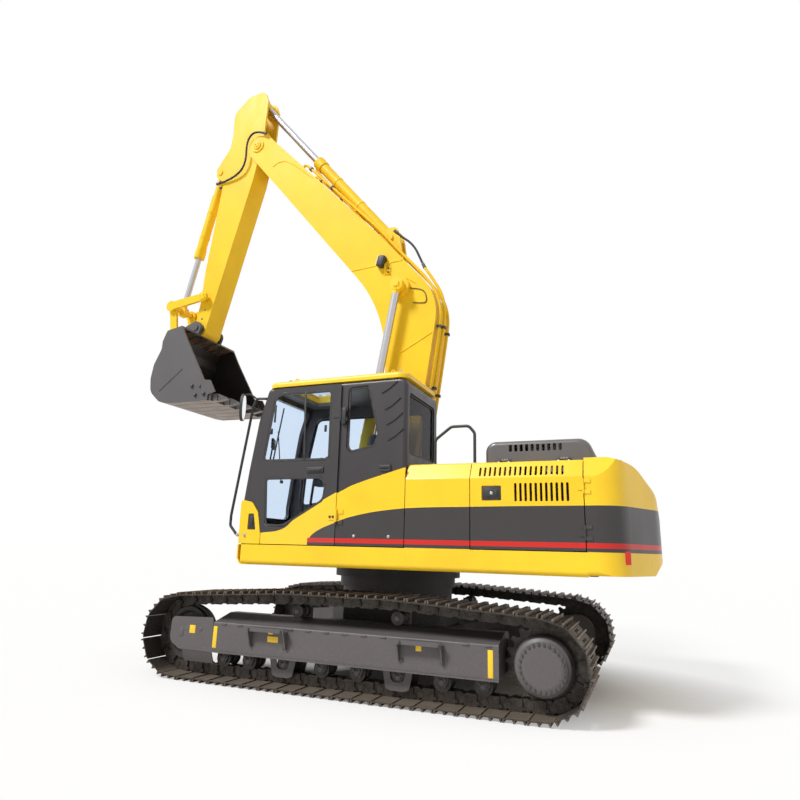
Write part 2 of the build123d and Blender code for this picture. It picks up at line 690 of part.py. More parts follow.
def counterweight():
    """Cast counterweight: curved tail, the sides' shoulders carried round, rounded top edge."""
    depth = tail_radius + weight_front
    plan = [(weight_front, side_y), (weight_front - 0.45 * depth, side_y), (-tail_radius, 640),
            (-tail_radius, -640), (weight_front - 0.45 * depth, -side_y), (weight_front, -side_y)]
    radii = [0, 0.5 * depth, depth, depth, 0.5 * depth, 0]
    body = floor_plate(plan, radii, weight_bottom, weight_top)
    crown = [(weight_front + 5, weight_bottom - 5), (weight_front + 5, weight_top),
             (0.68 * depth - tail_radius, weight_top), (0.3 * depth - tail_radius, weight_top - 60),
             (20 - tail_radius, 1830), (-tail_radius - 5, 1560), (-tail_radius - 5, 1250),
             (70 - tail_radius, weight_bottom - 5)]
    body = body & side_plate(crown, [0, 0, 0.25 * depth, 0.25 * depth, 200, 120, 60, 0], -side_y - 5, side_y + 5)
    section = [(side_y, weight_bottom), (side_y, shoulder_z), (hood_edge, weight_top), (-hood_edge, weight_top),
               (-side_y, shoulder_z), (-side_y, weight_bottom)]
    return body & cross_bar(section, [40, 60, 20, 20, 60, 40], -tail_radius - 10, weight_front)


def right_boxes():
    """Fuel tank and hydraulic tank on the right, and the tool box with steps in front."""
    y_low, y_high = -side_y, -boom_side
    fuel = block(-40, 760, y_low, y_high, rail_top + seat_gap, 2060)
    fuel = fillet(fuel.edges().filter_by(Axis.X).group_by(Axis.Z)[-1].sort_by(Axis.Y)[0:1], 120)
    oil = block(cab_rear + 8, -48, y_low, y_high, rail_top + seat_gap, 2060)
    oil = fillet(oil.edges().filter_by(Axis.X).group_by(Axis.Z)[-1].sort_by(Axis.Y)[0:1], 120)
    steps = [(768, rail_top + seat_gap), (house_front - 10, rail_top + seat_gap), (house_front - 10, 1500), (1010, 1500),
             (1010, 1700), (768, 1700)]
    box = side_plate(steps, [0, 0, 40, 0, 40, 0], y_low, y_high)
    return fuel, oil, box


def side_panel_right():
    return side_skin(joint_x + panel_gap / 2, cab_rear, -1, rail_top + seat_gap)


# --- cab --------------------------------------------------------------------------------
drawn_top = 2945.0           # the cab's outlines are given for this top and stretch with cab_top


def in_cab(points):
    """Outline points (X, Z) with their heights above the cab's floor stretched to its real height."""
    stretch = (cab_top - cab_bottom) / (drawn_top - cab_bottom)
    return [(x, cab_bottom + (z - cab_bottom) * stretch) for x, z in points]


roof_top = cab_top + roof_thickness
cab_side_outline = in_cab([(1005, 2945), (1107, 2596), (1183, 2073), (1222, 1740), (1216, cab_bottom),
                           (cab_rear, cab_bottom), (cab_rear, 2945)])
cab_side_radii = [60, 400, 600, 60, 0, 40, 90]
door_opening = in_cab([(door_rear + 35, 2895), (890, 2895), (985, 2840), (1078, 2100), (1072, 1790),
                       (985, 1640), (930, 1400), (door_rear + 35, 1400)])
door_radii = [60, 60, 120, 400, 60, 60, 40, 60]
quarter_window = in_cab([(40, 2880), (-195, 2890), (-318, 2390), (-275, 2262), (-5, 2208), (40, 2262)])
quarter_radii = [50, 50, 90, 60, 60, 30]
right_window = in_cab([(900, 2780), (1050, 2050), (1050, 1750), (-450, 2000), (-450, 2780)])
front_window = in_cab([(cab_inner + 85, 1600), (cab_outer - 85, 1600), (cab_outer - 85, 2860),
                       (cab_inner + 85, 2860)])
rear_window = in_cab([(cab_inner + 110, 2200), (cab_outer - 62, 2190), (cab_outer - 62, 2800),
                      (cab_inner + 110, 2800)])
hatch_x = (330.0, 820.0)
hatch_side = 180.0           # from the cab's sides to the roof hatch
corner_radius = 42.0         # of the cab's rear corner


def moved_in(points, by):
    """Corners of the cab's side moved towards its middle by a wall."""
    low, high = cab_bottom + by, cab_top - by
    return [(min(max(x, cab_rear + by), x - by if x > 0 else x + by), min(max(z, low), high)) for x, z in points]


def cab_shell():
    """Hollow cab before it is parted: side, rear and front frames with window openings, floor, ceiling."""
    shell = side_plate(cab_side_outline, cab_side_radii, cab_inner, cab_outer)
    corner = shell.edges().filter_by(Axis.Z).filter_by(lambda e: e.center().X < cab_rear + 1)
    shell = fillet(corner, corner_radius)
    inside = moved_in(cab_side_outline, cab_wall)
    shell = shell - side_plate(inside, [40, 300, 500, 30, 0, 20, 60], cab_inner + cab_wall, cab_outer - cab_wall)
    shell = shell - side_plate(door_opening, door_radii, cab_outer - cab_wall - 5, cab_outer + 5)
    shell = shell - side_plate(quarter_window, quarter_radii, cab_outer - cab_wall - 5, cab_outer + 5)
    shell = shell - side_plate(right_window, 70, cab_inner - 5, cab_inner + cab_wall + 5)
    shell = shell - cross_bar(front_window, 70, 900, 1300)
    return shell - cross_bar(rear_window, 50, cab_rear - 10, cab_rear + cab_wall + 10)


def hatch_opening(low, high, inset=0.0):
    return block(hatch_x[0] + inset, hatch_x[1] - inset, cab_inner + hatch_side + inset,
                 cab_outer - hatch_side - inset, low, high)


def scoops():
    """Four slanting scoops on the left side behind the quarter window."""
    raised = []
    for x, z in in_cab([(-413, 2848), (-452, 2678), (-476, 2527), (-491, 2372)]):
        blade = [(x + 84, z - 56), (x - 2, z + 14), (x - 84, z + 56), (x + 12, z - 20)]
        raised.append(side_plate(blade, [0, 60, 0, 60], cab_outer - 1, cab_outer + 10))
    return raised


def cab_left_side():
    """Left frame: door opening, quarter window, scoops and the door latch's striker plate."""
    frame = cab_shell() & block(-3000, 3000, cab_outer - cab_wall, cab_outer + 5, 0, 4000)
    for scoop in scoops():
        frame = frame + scoop
    latch = in_cab([(-453, 2020), (-320, 2020), (-320, 2094), (-453, 2094)])
    frame = frame + side_plate(latch, 34, cab_outer - 1, cab_outer + 12)
    grip = in_cab([(-425, 2040), (-348, 2040), (-348, 2074), (-425, 2074)])
    return frame - side_plate(grip, 15, cab_outer + 3, cab_outer + 20)


def cab_right_side():
    return cab_shell() & block(-3000, 3000, cab_inner - 5, cab_inner + cab_wall, 0, 4000)


def cab_middle():
    """What lies between the two side frames, and the heights where floor and ceiling part from it."""
    middle = cab_shell() & block(-3000, 3000, cab_inner + cab_wall + seat_gap, cab_outer - cab_wall - seat_gap, 0, 4000)
    return middle, cab_bottom + cab_wall, cab_top - cab_wall


def cab_floor():
    middle, low, _ = cab_middle()
    return middle & block(-3000, 3000, 0, 3000, 0, low)


def cab_ceiling():
    middle, _, high = cab_middle()
    return (middle & block(-3000, 3000, 0, 3000, high, 4000)) - hatch_opening(high - 10, cab_top + 10)


def cab_front():
    middle, low, high = cab_middle()
    return middle & block(700, 3000, 0, 3000, low + seat_gap, high - seat_gap)


def cab_back():
    middle, low, high = cab_middle()
    return middle & block(-3000, cab_rear + cab_wall + 80, 0, 3000, low + seat_gap, high - seat_gap)


def cab_roof():
    """Roof cap with rounded edges, a hatch's rim and four lifting eyes."""
    x_low, x_high = cab_rear + 5, 1010
    roof = block(x_low, x_high, cab_inner + 5, cab_outer + 8, cab_top + seat_gap, roof_top)
    roof = fillet(roof.edges().filter_by(Axis.Z), 110)
    roof = fillet(roof.edges().group_by(Axis.Z)[-1], 40)
    roof = roof - hatch_opening(cab_top - 10, roof_top + 10)
    rim = hatch_opening(roof_top - 10, roof_top + 14, -26) - hatch_opening(cab_top - 10, roof_top + 20)
    roof = roof + rim
    for x in (-400, 720):
        for y in (cab_inner + 120, cab_outer - 110):
            eye = pin((x, roof_top + 26), 24, y, y + 10) + block(x - 18, x + 18, y - 8, y + 18, roof_top - 4, roof_top + 8)
            roof = roof + (eye - pin((x, roof_top + 30), 11, y - 20, y + 30))
    return roof


def cab_glass():
    """Fixed panes: quarter, right, rear, hatch and windscreen."""
    middle = cab_wall / 2
    rear = offset(outline(rear_window, 50), amount=-glass_gap, kind=Kind.INTERSECTION)
    panes = [
        pane(quarter_window, quarter_radii, glass_gap, cab_outer - middle, cab_outer - middle + glass),
        pane(right_window, 70, glass_gap, cab_inner + middle, cab_inner + middle + glass),
        Pos(cab_rear + middle, 0, 0) * extrude(Plane.YZ * rear, amount=glass),
        hatch_opening(roof_top - 20, roof_top - 20 + glass, glass_gap),
    ]
    outer = moved_in(cab_side_outline, 18)
    inner = moved_in(cab_side_outline, 18 + glass)
    screen = side_plate(outer, [50, 360, 560, 50, 0, 30, 80], cab_inner + 80, cab_outer - 80)
    screen = screen - side_plate(inner, [46, 350, 550, 40, 0, 30, 76], cab_inner + 70, cab_outer - 70)
    front = offset(outline(front_window, 70), amount=-glass_gap, kind=Kind.INTERSECTION)
    panes.append(screen & (Pos(700, 0, 0) * extrude(Plane.YZ * front, amount=600)))
    return panes


def cab_skirt():
    """Painted lower side behind the door."""
    points = [(door_rear - panel_gap, panel_bottom), (door_rear - panel_gap, 1815), (-40, 1885), (-210, 1940),
              (cab_rear, 2050), (cab_rear, panel_bottom)]
    return side_plate(points, [0, 0, 200, 300, 0, 0], cab_outer + seat_gap, side_y)


def cab_corner():
    """Painted front corner under the windscreen, ahead of the door, with a lamp's recess."""
    points = [(1215, panel_bottom), (1219, 1762), (1085, 1738), (1003, 1632), (door_front + 12, 1430),
              (door_front + panel_gap, panel_bottom)]
    corner = side_plate(points, [0, 30, 70, 60, 40, 0], cab_outer + seat_gap, side_y)
    return corner - side_plate([(1118, 1458), (1118, 1622), (1052, 1622), (1018, 1458)], 12, side_y - 10, side_y + 5)


def door_edge():
    lower = [(992, 1636), (door_front + 3, 1430), (door_front, panel_bottom), (door_rear, panel_bottom)]
    return in_cab([(door_rear, 2925), (905, 2925), (1000, 2870), (1112, 2100), (1108, 1806)]) + lower


door_edge_radii = [30, 90, 120, 500, 60, 60, 40, 0, 0]
hinge_axis = (100.0, side_y + 15.0)
hinge_zs = [1560.0, 2570.0]


door_upper_window = in_cab([(212, 2872), (800, 2882), (905, 2838), (1000, 2148), (205, 2140)])
upper_radii = [50, 100, 90, 50, 40]
door_lower_window = in_cab([(285, 1985), (950, 1985), (915, 1494), (700, 1488), (250, 1745), (230, 1900)])
lower_radii = [40, 40, 40, 70, 60, 50]


def cab_door():
    """Full-height door with its frame; the lower part carries the painted skin."""
    door = side_plate(door_edge(), door_edge_radii, cab_outer + seat_gap + 1, side_y)
    ring = pane(door_opening, door_radii, door_gap, cab_outer - 25, cab_outer + 2)
    ring = ring - pane(door_opening, door_radii, door_gap + 30, cab_outer - 30, cab_outer + 1.5)
    door = door + ring
    door = door - side_plate(door_upper_window, upper_radii, cab_outer - 60, side_y + 5)
    door = door - side_plate(door_lower_window, lower_radii, cab_outer - 60, side_y + 5)
    for z in hinge_zs:
        door = door + upright(hinge_axis[0], hinge_axis[1], 13, z, z + 60)
        door = door + block(hinge_axis[0], hinge_axis[0] + 90, side_y, side_y + 8, z, z + 60)
    return door


def door_glass():
    y = cab_outer + 6
    return [pane(door_upper_window, upper_radii, glass_gap, y, y + glass),
            pane(door_lower_window, lower_radii, glass_gap, y, y + glass)]


def door_hinges():
    """Fixed halves of the door's hinges on the cab."""
    halves = []
    for z in hinge_zs:
        for low in (z - 40 - hinge_gap, z + 60 + hinge_gap):
            seat_y = side_y if z < 1700 else cab_outer + seat_gap
            leaf = upright(hinge_axis[0], hinge_axis[1], 13, low, low + 40)
            leaf = leaf + block(hinge_axis[0] - 70, hinge_axis[0], seat_y, side_y + 8, low, low + 40)
            halves.append(leaf)
    return halves


def seat():
    x, y = 120.0, (cab_inner + cab_outer) / 2
    cushion = block(x - 250, x + 270, y - 245, y + 245, 1790, 1900)
    back = side_plate([(x - 250, 1900), (x - 120, 1900), (x - 200, 2480), (x - 320, 2480)], [0, 0, 60, 60], y - 235, y + 235)
    head = side_plate([(x - 300, 2480 + seat_gap), (x - 205, 2480 + seat_gap), (x - 235, 2650), (x - 315, 2650)], [0, 0, 30, 30], y - 130, y + 130)
    return cushion + back + head


def seat_base():
    x, y = 120.0, (cab_inner + cab_outer) / 2
    return block(x - 200, x + 200, y - 190, y + 190, cab_bottom + cab_wall, 1790 - seat_gap)


def consoles():
    """Arm consoles with joysticks beside the seat, travel levers and the monitor."""
    y = (cab_inner + cab_outer) / 2
    pieces = []
    for side in (1, -1):
        console = block(0, 430, y + side * 330 - 65, y + side * 330 + 65, 1900, 2010)
        stand = block(60, 300, y + side * 330 - 50, y + side * 330 + 50, cab_bottom + cab_wall, 1901)
        stick_grip = round_bar((370, y + side * 330, 2008), (385, y + side * 325, 2190), 24)
        pieces.append(console + stand + stick_grip)
        lever = round_bar((760, y + side * 70, cab_bottom + cab_wall + 2), (700, y + side * 95, 2050), 14)
        pedal = block(740, 900, y + side * 110 - 45, y + side * 110 + 45, cab_bottom + cab_wall, 1425)
        pieces.append(lever + pedal)
    monitor = block(960, 985, cab_inner + 60, cab_inner + 300, 2120, 2300)
    monitor = monitor + round_bar((972, cab_inner + 180, 1690), (972, cab_inner + 180, 2122), 16)
    monitor = monitor + round_bar((972, cab_inner + 190, 1700), (972, cab_inner + cab_wall + seat_gap, 1700), 16)
    pieces.append(monitor)
    return pieces


rail_start = 1037.5         # on the cab's front pillar


def handrails():
    """Long grab rail ahead of the cab with the mirror on it, and the rail on the body behind the cab."""
    front = bent_bar([(1219, 1330, 1404), (1270, 1330, 1404), (1362, 1330, 1500), (1362, 1330, 1606),
                      (1198, 1330, 2766), (1160, 1330, 2848), (rail_start, 1330, 2838)], 40, 14)
    arm = bent_bar([(1160, 1330, 2846), (1240, 1350, 2900), (1300, 1392, 2880), (1300, 1392, 2760)], 25, 9)
    head = Pos(1290, 1392, 2745) * Rot(0, 0, 20) * extrude(Plane.YZ * Ellipse(78, 150), amount=14, both=True)
    rear = bent_bar([(-840, 1200, hood_z + seat_gap), (-840, 1200, 2330), (-1000, 1200, 2450), (-1170, 1200, 2450),
                     (-1228, 1200, 2380), (-1228, 1200, hood_z + seat_gap)], 60, 14)
    return [front + arm + head, rear]


def exhaust():
    """Exhaust stub on the top plate ahead of the lid."""
    stub = upright(-1180, -900, 58, hood_z + seat_gap, 2385)
    return stub + upright(-1180, -900, 78, hood_z + seat_gap, hood_z + 14)


# --- boom -------------------------------------------------------------------------------
def boom():
    """Welded box boom: foot boss, bend, forked nose, bosses and the stick cylinder's ears."""
    shape = [(-165, 1765), (165, 1765), (140, 4143), (2480, 6973), (2490, 7190), (2330, 7268), (2120, 7172),
             (406, 5367), (-530, 4290)]
    radii = [164, 164, 1900, 120, 120, 120, 200, 0, 700]
    box = side_plate(shape, radii, -boom_half, boom_half)
    box = box + pin(nose_pin, nose_radius, -boom_half, boom_half)
    box = box + pin(nose_pin, nose_boss, -boom_half - 16, boom_half + 16)
    slot = [(2210, 6620), (2700, 6500), (2800, 7500), (2200, 7500), (1690, 6760)]
    box = box - side_plate(slot, 0, -stick_half - side_gap, stick_half + side_gap)
    for face in both_sides(pin(boom_cylinder_eye, 125, boom_half - 5, boom_cylinder_y - eye_half - seat_gap)):
        box = box + face
    base = stick_cylinder_base
    ear = [(base[0] + 200, base[1] + 45), (base[0] + 20, base[1] + 140), (base[0] - 95, base[1] + 133),
           (base[0] - 145, base[1] - 30), (base[0] - 190, base[1] - 370), (base[0] - 130, base[1] - 380)]
    ear_radii = [0, 60, 60, 200, 0, 0]
    for plate in both_sides(side_plate(ear, ear_radii, eye_half + side_gap, eye_half + side_gap + 40)):
        box = box + plate
    box = box + pin(base, pin_radius, -eye_half - side_gap - 60, eye_half + side_gap + 60)
    box = box - pin(boom_foot, pin_radius + 10 + pin_gap, -boom_half - 5, boom_half + 5)
    box = box - pin(nose_pin, pin_radius + pin_gap, -boom_half - 20, boom_half + 20)
    return box


def nose_shaft():
    reach = boom_half + 16
    bar = pin(nose_pin, pin_radius, -reach - 2, reach + 2)
    return bar + pin(nose_pin, 66, reach + 1, reach + 14) + pin(nose_pin, 66, -reach - 14, -reach - 1)


def tube(base, eye, y, radius, length, end_half):
    """Cylinder barrel from its base pin towards the eye pin, with gland and base eye."""
    start, end = along(base, eye, neck), along(base, eye, length)
    gland = along(base, eye, length - gland_length)
    body = round_bar((start[0], y, start[1]), (end[0], y, end[1]), radius)
    half = radius * 0.8
    collar = [along(base, eye, 0, half), along(base, eye, 0, -half), along(base, eye, neck + 10, -half),
              along(base, eye, neck + 10, half)]
    body = body + side_plate(collar, 0, y - end_half, y + end_half)
    body = body + round_bar((gland[0], y, gland[1]), (end[0], y, end[1]), radius + 12)
    body = body + pin(base, eye_radius, y - end_half, y + end_half)
    return body - pin(base, pin_radius + pin_gap, y - 100, y + 100)


def rod(base, eye, y, radius, tube_radius, length, end_half, pin_half):
    """Piston rod inside its barrel, with the eye and its own pin at the end."""
    start = along(base, eye, length)
    body = round_bar((start[0], y, start[1]), (eye[0], y, eye[1]), radius)
    return body + pin(eye, eye_radius, y - end_half, y + end_half) + pin(eye, pin_radius, y - pin_half, y + pin_half)


def bored_tube(base, eye, y, radius, rod_radius, length, end_half):
    barrel = tube(base, eye, y, radius, length, end_half)
    start, end = along(base, eye, neck + 20), along(base, eye, length + 5)
    return barrel - round_bar((start[0], y, start[1]), (end[0], y, end[1]), rod_radius + pin_gap)


boom_barrel = 1740.0
stick_barrel = 1890.0
bucket_barrel = 1400.0


def boom_cylinder_tubes():
    left = bored_tube(boom_cylinder_base, boom_cylinder_eye, boom_cylinder_y, boom_tube_radius, boom_rod_radius,
                      boom_barrel, eye_half)
    return both_sides(left)


def boom_cylinder_rods():
    left = rod(boom_cylinder_base, boom_cylinder_eye, boom_cylinder_y, boom_rod_radius, boom_tube_radius,
               boom_barrel - 220, eye_half, eye_half + 26)
    left = left & block(-3000, 3000, boom_cylinder_y - eye_half, 1000, 0, 9000)
    return both_sides(left)


def stick_cylinder_tube():
    return bored_tube(stick_cylinder_base, stick_cylinder_eye, 0, stick_tube_radius, stick_rod_radius,
                      stick_barrel, eye_half)


def stick_cylinder_rod():
    return rod(stick_cylinder_base, stick_cylinder_eye, 0, stick_rod_radius, stick_tube_radius,
               stick_barrel - 200, eye_half + 6, eye_half + 8)


def bucket_cylinder_tube():
    return bored_tube(bucket_cylinder_base, link_pin, 0, bucket_tube_radius, bucket_rod_radius,
                      bucket_barrel, eye_half)


def bucket_cylinder_rod():
    return rod(bucket_cylinder_base, link_pin, 0, bucket_rod_radius, bucket_tube_radius,
               bucket_barrel - 500, eye_half, stick_half)


def stick():
    """Stick: box arm with horns for its cylinder, bracket for the bucket cylinder, two bosses."""
    shape = [(3000, 4240), (3196, 4240), (3130, 4700), (3105, 5200), (2862, 7420), (2868, 7830), (2610, 8062),
             (2330, 8085), (2262, 7900), (2285, 7300), (2400, 6610)]
    radii = [0, 0, 100, 300, 200, 190, 150, 100, 80, 200, 500]
    arm = side_plate(shape, radii, -stick_half, stick_half)
    arm = arm + pin(nose_pin, 140, -stick_half, stick_half)
    arm = arm + pin(bucket_pin, stick_tip_radius, -stick_half, stick_half)
    slot = [(2100, 7390), (2500, 7390), (2640, 7480), (2680, 7800), (2560, 8300), (2100, 8300)]
    arm = arm - side_plate(slot, 0, -stick_half + stick_wall, stick_half - stick_wall)
    for boss in both_sides(pin(stick_cylinder_eye, 96, eye_half + 16, stick_half - stick_wall + 1)):
        arm = arm + boss
    base = bucket_cylinder_base
    ear = [(2862, 7420), (base[0] + 75, base[1] + 60), (base[0] + 62, base[1] - 70), (base[0] - 120, base[1] - 220)]
    for plate in both_sides(side_plate(ear, [0, 70, 70, 0], eye_half + side_gap, eye_half + side_gap + 36)):
        arm = arm + plate
    arm = arm + pin(base, pin_radius, -eye_half - side_gap - 50, eye_half + side_gap + 50)
    arm = arm - pin(nose_pin, pin_radius + pin_gap, -stick_half - 5, stick_half + 5)
    arm = arm - pin(idler_pin, pin_radius + pin_gap, -stick_half - 5, stick_half + 5)
    return arm - pin(bucket_pin, pin_radius + pin_gap, -stick_half - 5, stick_half + 5)


def link_bar(start, end, half_start, half_end, y_low, y_high):
    """Flat bar with round ends between two pins."""
    length = hypot(end[0] - start[0], end[1] - start[1])
    sides = [along(start, end, 0, half_start), along(start, end, 0, -half_start),
             along(start, end, length, -half_end), along(start, end, length, half_end)]
    bar = side_plate(sides, 0, y_low, y_high)
    return bar + pin(start, half_start + 20, y_low, y_high) + pin(end, half_end + 20, y_low, y_high)


def idler_link():
    """Two bars from the stick to the link pin, with their shaft through the stick."""
    link = pin(idler_pin, pin_radius, -idler_low - 1, idler_low + 1)
    for bar in both_sides(link_bar(idler_pin, link_pin, 54, 60, idler_low, idler_low + ear_thickness)):
        link = link + bar
    return link


def power_link():
    """H-shaped link from the bucket's upper pin to the link pin: two arms, hub and cross plate."""
    high = link_low + link_thickness_y
    link = pin(ear_pin, 75, -link_low - 1, link_low + 1)
    for arm in both_sides(link_bar(ear_pin, link_pin, 56, 60, link_low, high)):
        link = link + arm
    plate = [along(ear_pin, link_pin, 20, 22), along(ear_pin, link_pin, 20, -22),
             along(ear_pin, link_pin, 250, -22), along(ear_pin, link_pin, 250, 22)]
    link = link + side_plate(plate, 0, -link_low - 1, link_low + 1)
    return link - pin(ear_pin, pin_radius + pin_gap, -high - 5, high + 5)


def bucket():
    """Digging bucket: wrapper, side plates, lip, ears, side cutters, adapters and teeth."""
    outer = [(3040, 4195), (3290, 4150), (3352, 4000), (3352, 3890), (3455, 3680), (3485, 3480), (3460, 3290),
             (3290, 3140), (3120, 3108), (2430, 3100)]
    mouth = [(2430, 3180), (2560, 3370), (2920, 3970)]
    side_face = outer + mouth
    shell = side_plate(side_face, [0, 40, 60, 120, 160, 160, 170, 160, 60, 0, 0, 0, 0], -bucket_half, bucket_half)
    w = bucket_wall
    cavity = [(2990, 4170), (3270, 4126), (3330, 3995), (3330, 3880), (3430, 3675), (3461, 3480), (3438, 3300),
              (3280, 3164), (3118, 3132), (2300, 3124), (2300, 3400), (2700, 4050)]
    shell = shell - side_plate(cavity, [0, 20, 40, 100, 140, 140, 150, 140, 40, 0, 0, 0],
                               -bucket_half + bucket_side, bucket_half - bucket_side)
    ears = [(bucket_pin[0] - 60, bucket_pin[1] - 100), (bucket_pin[0] - 105, bucket_pin[1] + 20),
            (bucket_pin[0] - 20, bucket_pin[1] + 105), (bucket_pin[0] + 110, bucket_pin[1] + 60),
            (ear_pin[0] + 20, ear_pin[1] + 95), (ear_pin[0] + 95, ear_pin[1]), (ear_pin[0], ear_pin[1] - 95),
            (3400, 3850), (3300, 4100)]
    ear_low = idler_low
    for side in (1, -1):
        y_low, y_high = sorted((side * ear_low, side * (ear_low + ear_thickness)))
        shell = shell + side_plate(ears, [0, 95, 90, 60, 80, 90, 80, 0, 0], y_low, y_high)
    shell = shell - pin(bucket_pin, stick_tip_radius + 14, -ear_low, ear_low)
    for boss in both_sides(pin(bucket_pin, 78, stick_half + seat_gap, ear_low + 1)):
        shell = shell + boss
    shell = shell + pin(bucket_pin, pin_radius, -ear_low - ear_thickness - 14, ear_low + ear_thickness + 14)
    shell = shell + pin(ear_pin, pin_radius, -ear_low - ear_thickness - 14, ear_low + ear_thickness + 14)
    cutter = [(2590, 3100), (2590, 3390), (2450, 3368), (2360, 3210), (2470, 3180), (2470, 3100)]
    for side in (1, -1):
        y_low, y_high = sorted((side * bucket_half, side * (bucket_half + 20)))
        shell = shell + side_plate(cutter, 0, y_low, y_high)
    return shell


def teeth():
    """Adapters and teeth on the lip."""
    pieces = []
    for i in range(tooth_count):
        y = (i / (tooth_count - 1) - 0.5) * 2 * (bucket_half - bucket_side - 46)
        adapter = [(2560, 3128), (2560, 3150), (2440, 3200), (2350, 3190), (2350, 3100), (2428, 3098), (2428, 3126)]
        tooth = [(2352, 3195), (2352, 3095), (2210, 3118), (2210, 3132)]
        piece = side_plate(adapter, 0, y - 45, y + 45) + side_plate(tooth, 0, y - 36, y + 36)
        pieces.append(piece)
    return pieces


# --- output -----------------------------------------------------------------------------
def save(name, shape):
    """Writes one node, moved so that the swing axis lies at swing_x."""
    solids = []
    for piece in shape if isinstance(shape, (list, tuple)) else [shape]:
        solids += [Pos(swing_x, 0, 0) * solid for solid in piece.solids()]
    whole = solids[0] if len(solids) == 1 else Compound(children=solids)
    export_step(whole, f"parts/{name}.step")


def pair(part):
    """A piece's left and right solids, for a function of the side."""
    solids = []
    for side in (1, -1):
        made = part(side)
        solids += made if isinstance(made, list) else [made]
    return solids


def main():
    os.makedirs("parts", exist_ok=True)
    fuel, oil, box = right_boxes()
    nodes = {
        "car_body": car_body(),
        "swing_bearing": swing_bearing(),
        "side_frames": pair(side_frame),
        "track_left": track(1),
        "track_right": track(-1),
        "rollers": pair(rollers),
        "idlers": pair(idler),
        "sprockets": pair(sprocket),
        "final_drives": pair(final_drive),
        "deck_floor": deck_floor(),
        "boom_cheeks": boom_cheeks(),
        "deck_beams": deck_beams(),
        "side_rails": side_rails(),
        "boom_foot_pin": boom_foot_pin(),
        "cylinder_brackets": cylinder_brackets(),
        "engine": engine(),
        "side_panels": [side_panel_left(), side_panel_right()],
        "side_door_left": side_door(1),
        "side_door_right": side_door(-1),
        "hood_deck": hood_deck(),
        "engine_cover": engine_cover(),
        "exhaust": exhaust(),
        "counterweight": counterweight(),
        "tanks": [fuel, oil],
        "tool_box": box,
        "cab_floor": cab_floor(),
        "cab_left_side": cab_left_side(),
        "cab_right_side": cab_right_side(),
        "cab_front": cab_front(),
        "cab_back": cab_back(),
        "cab_roof": [cab_roof(), cab_ceiling()],
        "cab_glass": cab_glass(),
        "cab_skirt": [cab_skirt(), cab_corner()],
        "hinges": door_hinges() + side_hinges() + cover_hinges(),
        "cab_door": cab_door(),
        "door_glass": door_glass(),
        "seat": seat(),
        "controls": [seat_base()] + consoles(),
        "handrails": handrails(),
        "boom": boom(),
        "nose_shaft": nose_shaft(),
        "boom_cylinder_tubes": boom_cylinder_tubes(),
        "boom_cylinder_rods": boom_cylinder_rods(),
        "stick_cylinder_tube": stick_cylinder_tube(),
        "stick_cylinder_rod": stick_cylinder_rod(),
        "stick": stick(),
        "bucket_cylinder_tube": bucket_cylinder_tube(),
        "bucket_cylinder_rod": bucket_cylinder_rod(),
        "idler_link": idler_link(),
        "power_link": power_link(),
        "bucket": bucket(),
        "bucket_teeth": teeth(),
    }
    for name, shape in nodes.items():
        save(name, shape)


main()
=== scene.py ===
import json
import math

import bmesh
import bpy
from bpy.props import FloatProperty, FloatVectorProperty, PointerProperty
from mathutils import Matrix, Vector
from mathutils.bvhtree import BVHTree


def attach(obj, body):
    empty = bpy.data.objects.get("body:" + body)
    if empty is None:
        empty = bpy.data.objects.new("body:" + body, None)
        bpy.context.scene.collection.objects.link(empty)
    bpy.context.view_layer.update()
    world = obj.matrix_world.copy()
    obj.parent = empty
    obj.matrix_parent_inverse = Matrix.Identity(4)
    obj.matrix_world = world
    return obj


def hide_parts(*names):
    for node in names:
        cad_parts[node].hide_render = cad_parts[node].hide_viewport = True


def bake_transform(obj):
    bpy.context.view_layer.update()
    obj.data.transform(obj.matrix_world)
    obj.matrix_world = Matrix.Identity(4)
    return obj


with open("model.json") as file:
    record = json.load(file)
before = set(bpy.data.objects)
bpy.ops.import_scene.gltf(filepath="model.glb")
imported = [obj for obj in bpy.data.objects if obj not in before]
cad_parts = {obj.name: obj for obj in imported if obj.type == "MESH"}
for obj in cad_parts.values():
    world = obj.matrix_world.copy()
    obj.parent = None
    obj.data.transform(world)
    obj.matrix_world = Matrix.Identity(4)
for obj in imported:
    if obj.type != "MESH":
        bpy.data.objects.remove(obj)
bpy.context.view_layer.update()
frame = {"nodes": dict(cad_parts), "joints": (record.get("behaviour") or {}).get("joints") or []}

bl_info = {
    "name": "Crawler excavator finish",
    "version": (1, 0, 0),
    "blender": (4, 5, 0),
    "location": "View3D > Sidebar > Excavator",
    "description": "Paint, glass, seals, lamps, bolts and the stage of a crawler excavator",
    "category": "Object",
}

NODES = frame["nodes"]
SWING_X = next(j["pos_m"][0] for j in frame["joints"] if j["name"] == "swing")
LEFT, RIGHT, UP = Vector((0, 1, 0)), Vector((0, -1, 0)), Vector((0, 0, 1))
AHEAD, BACK = Vector((1, 0, 0)), Vector((-1, 0, 0))
SIDES = (LEFT, RIGHT)

# Outer faces of the CAD pieces, in millimetres from the swing axis.
DOOR_FACE = 1363.0
QUARTER_FACE = 1335.0
CAB_RIGHT_FACE = 453.0
CAB_REAR_FACE = -577.0
BOOM_FACE = 215.0
STICK_FACE = 165.0
BUCKET_FACE = 570.5


def mm(x, y, z):
    """Millimetres as a vector in metres."""
    return Vector((x / 1000, y / 1000, z / 1000))


def at(x, y, z):
    """Place in the scene of a point in millimetres from the swing axis."""
    return Vector((SWING_X + x / 1000, y / 1000, z / 1000))


def line_at(points, y):
    """Places of (X, z) points that share one Y."""
    return [at(x, y, z) for x, z in points]


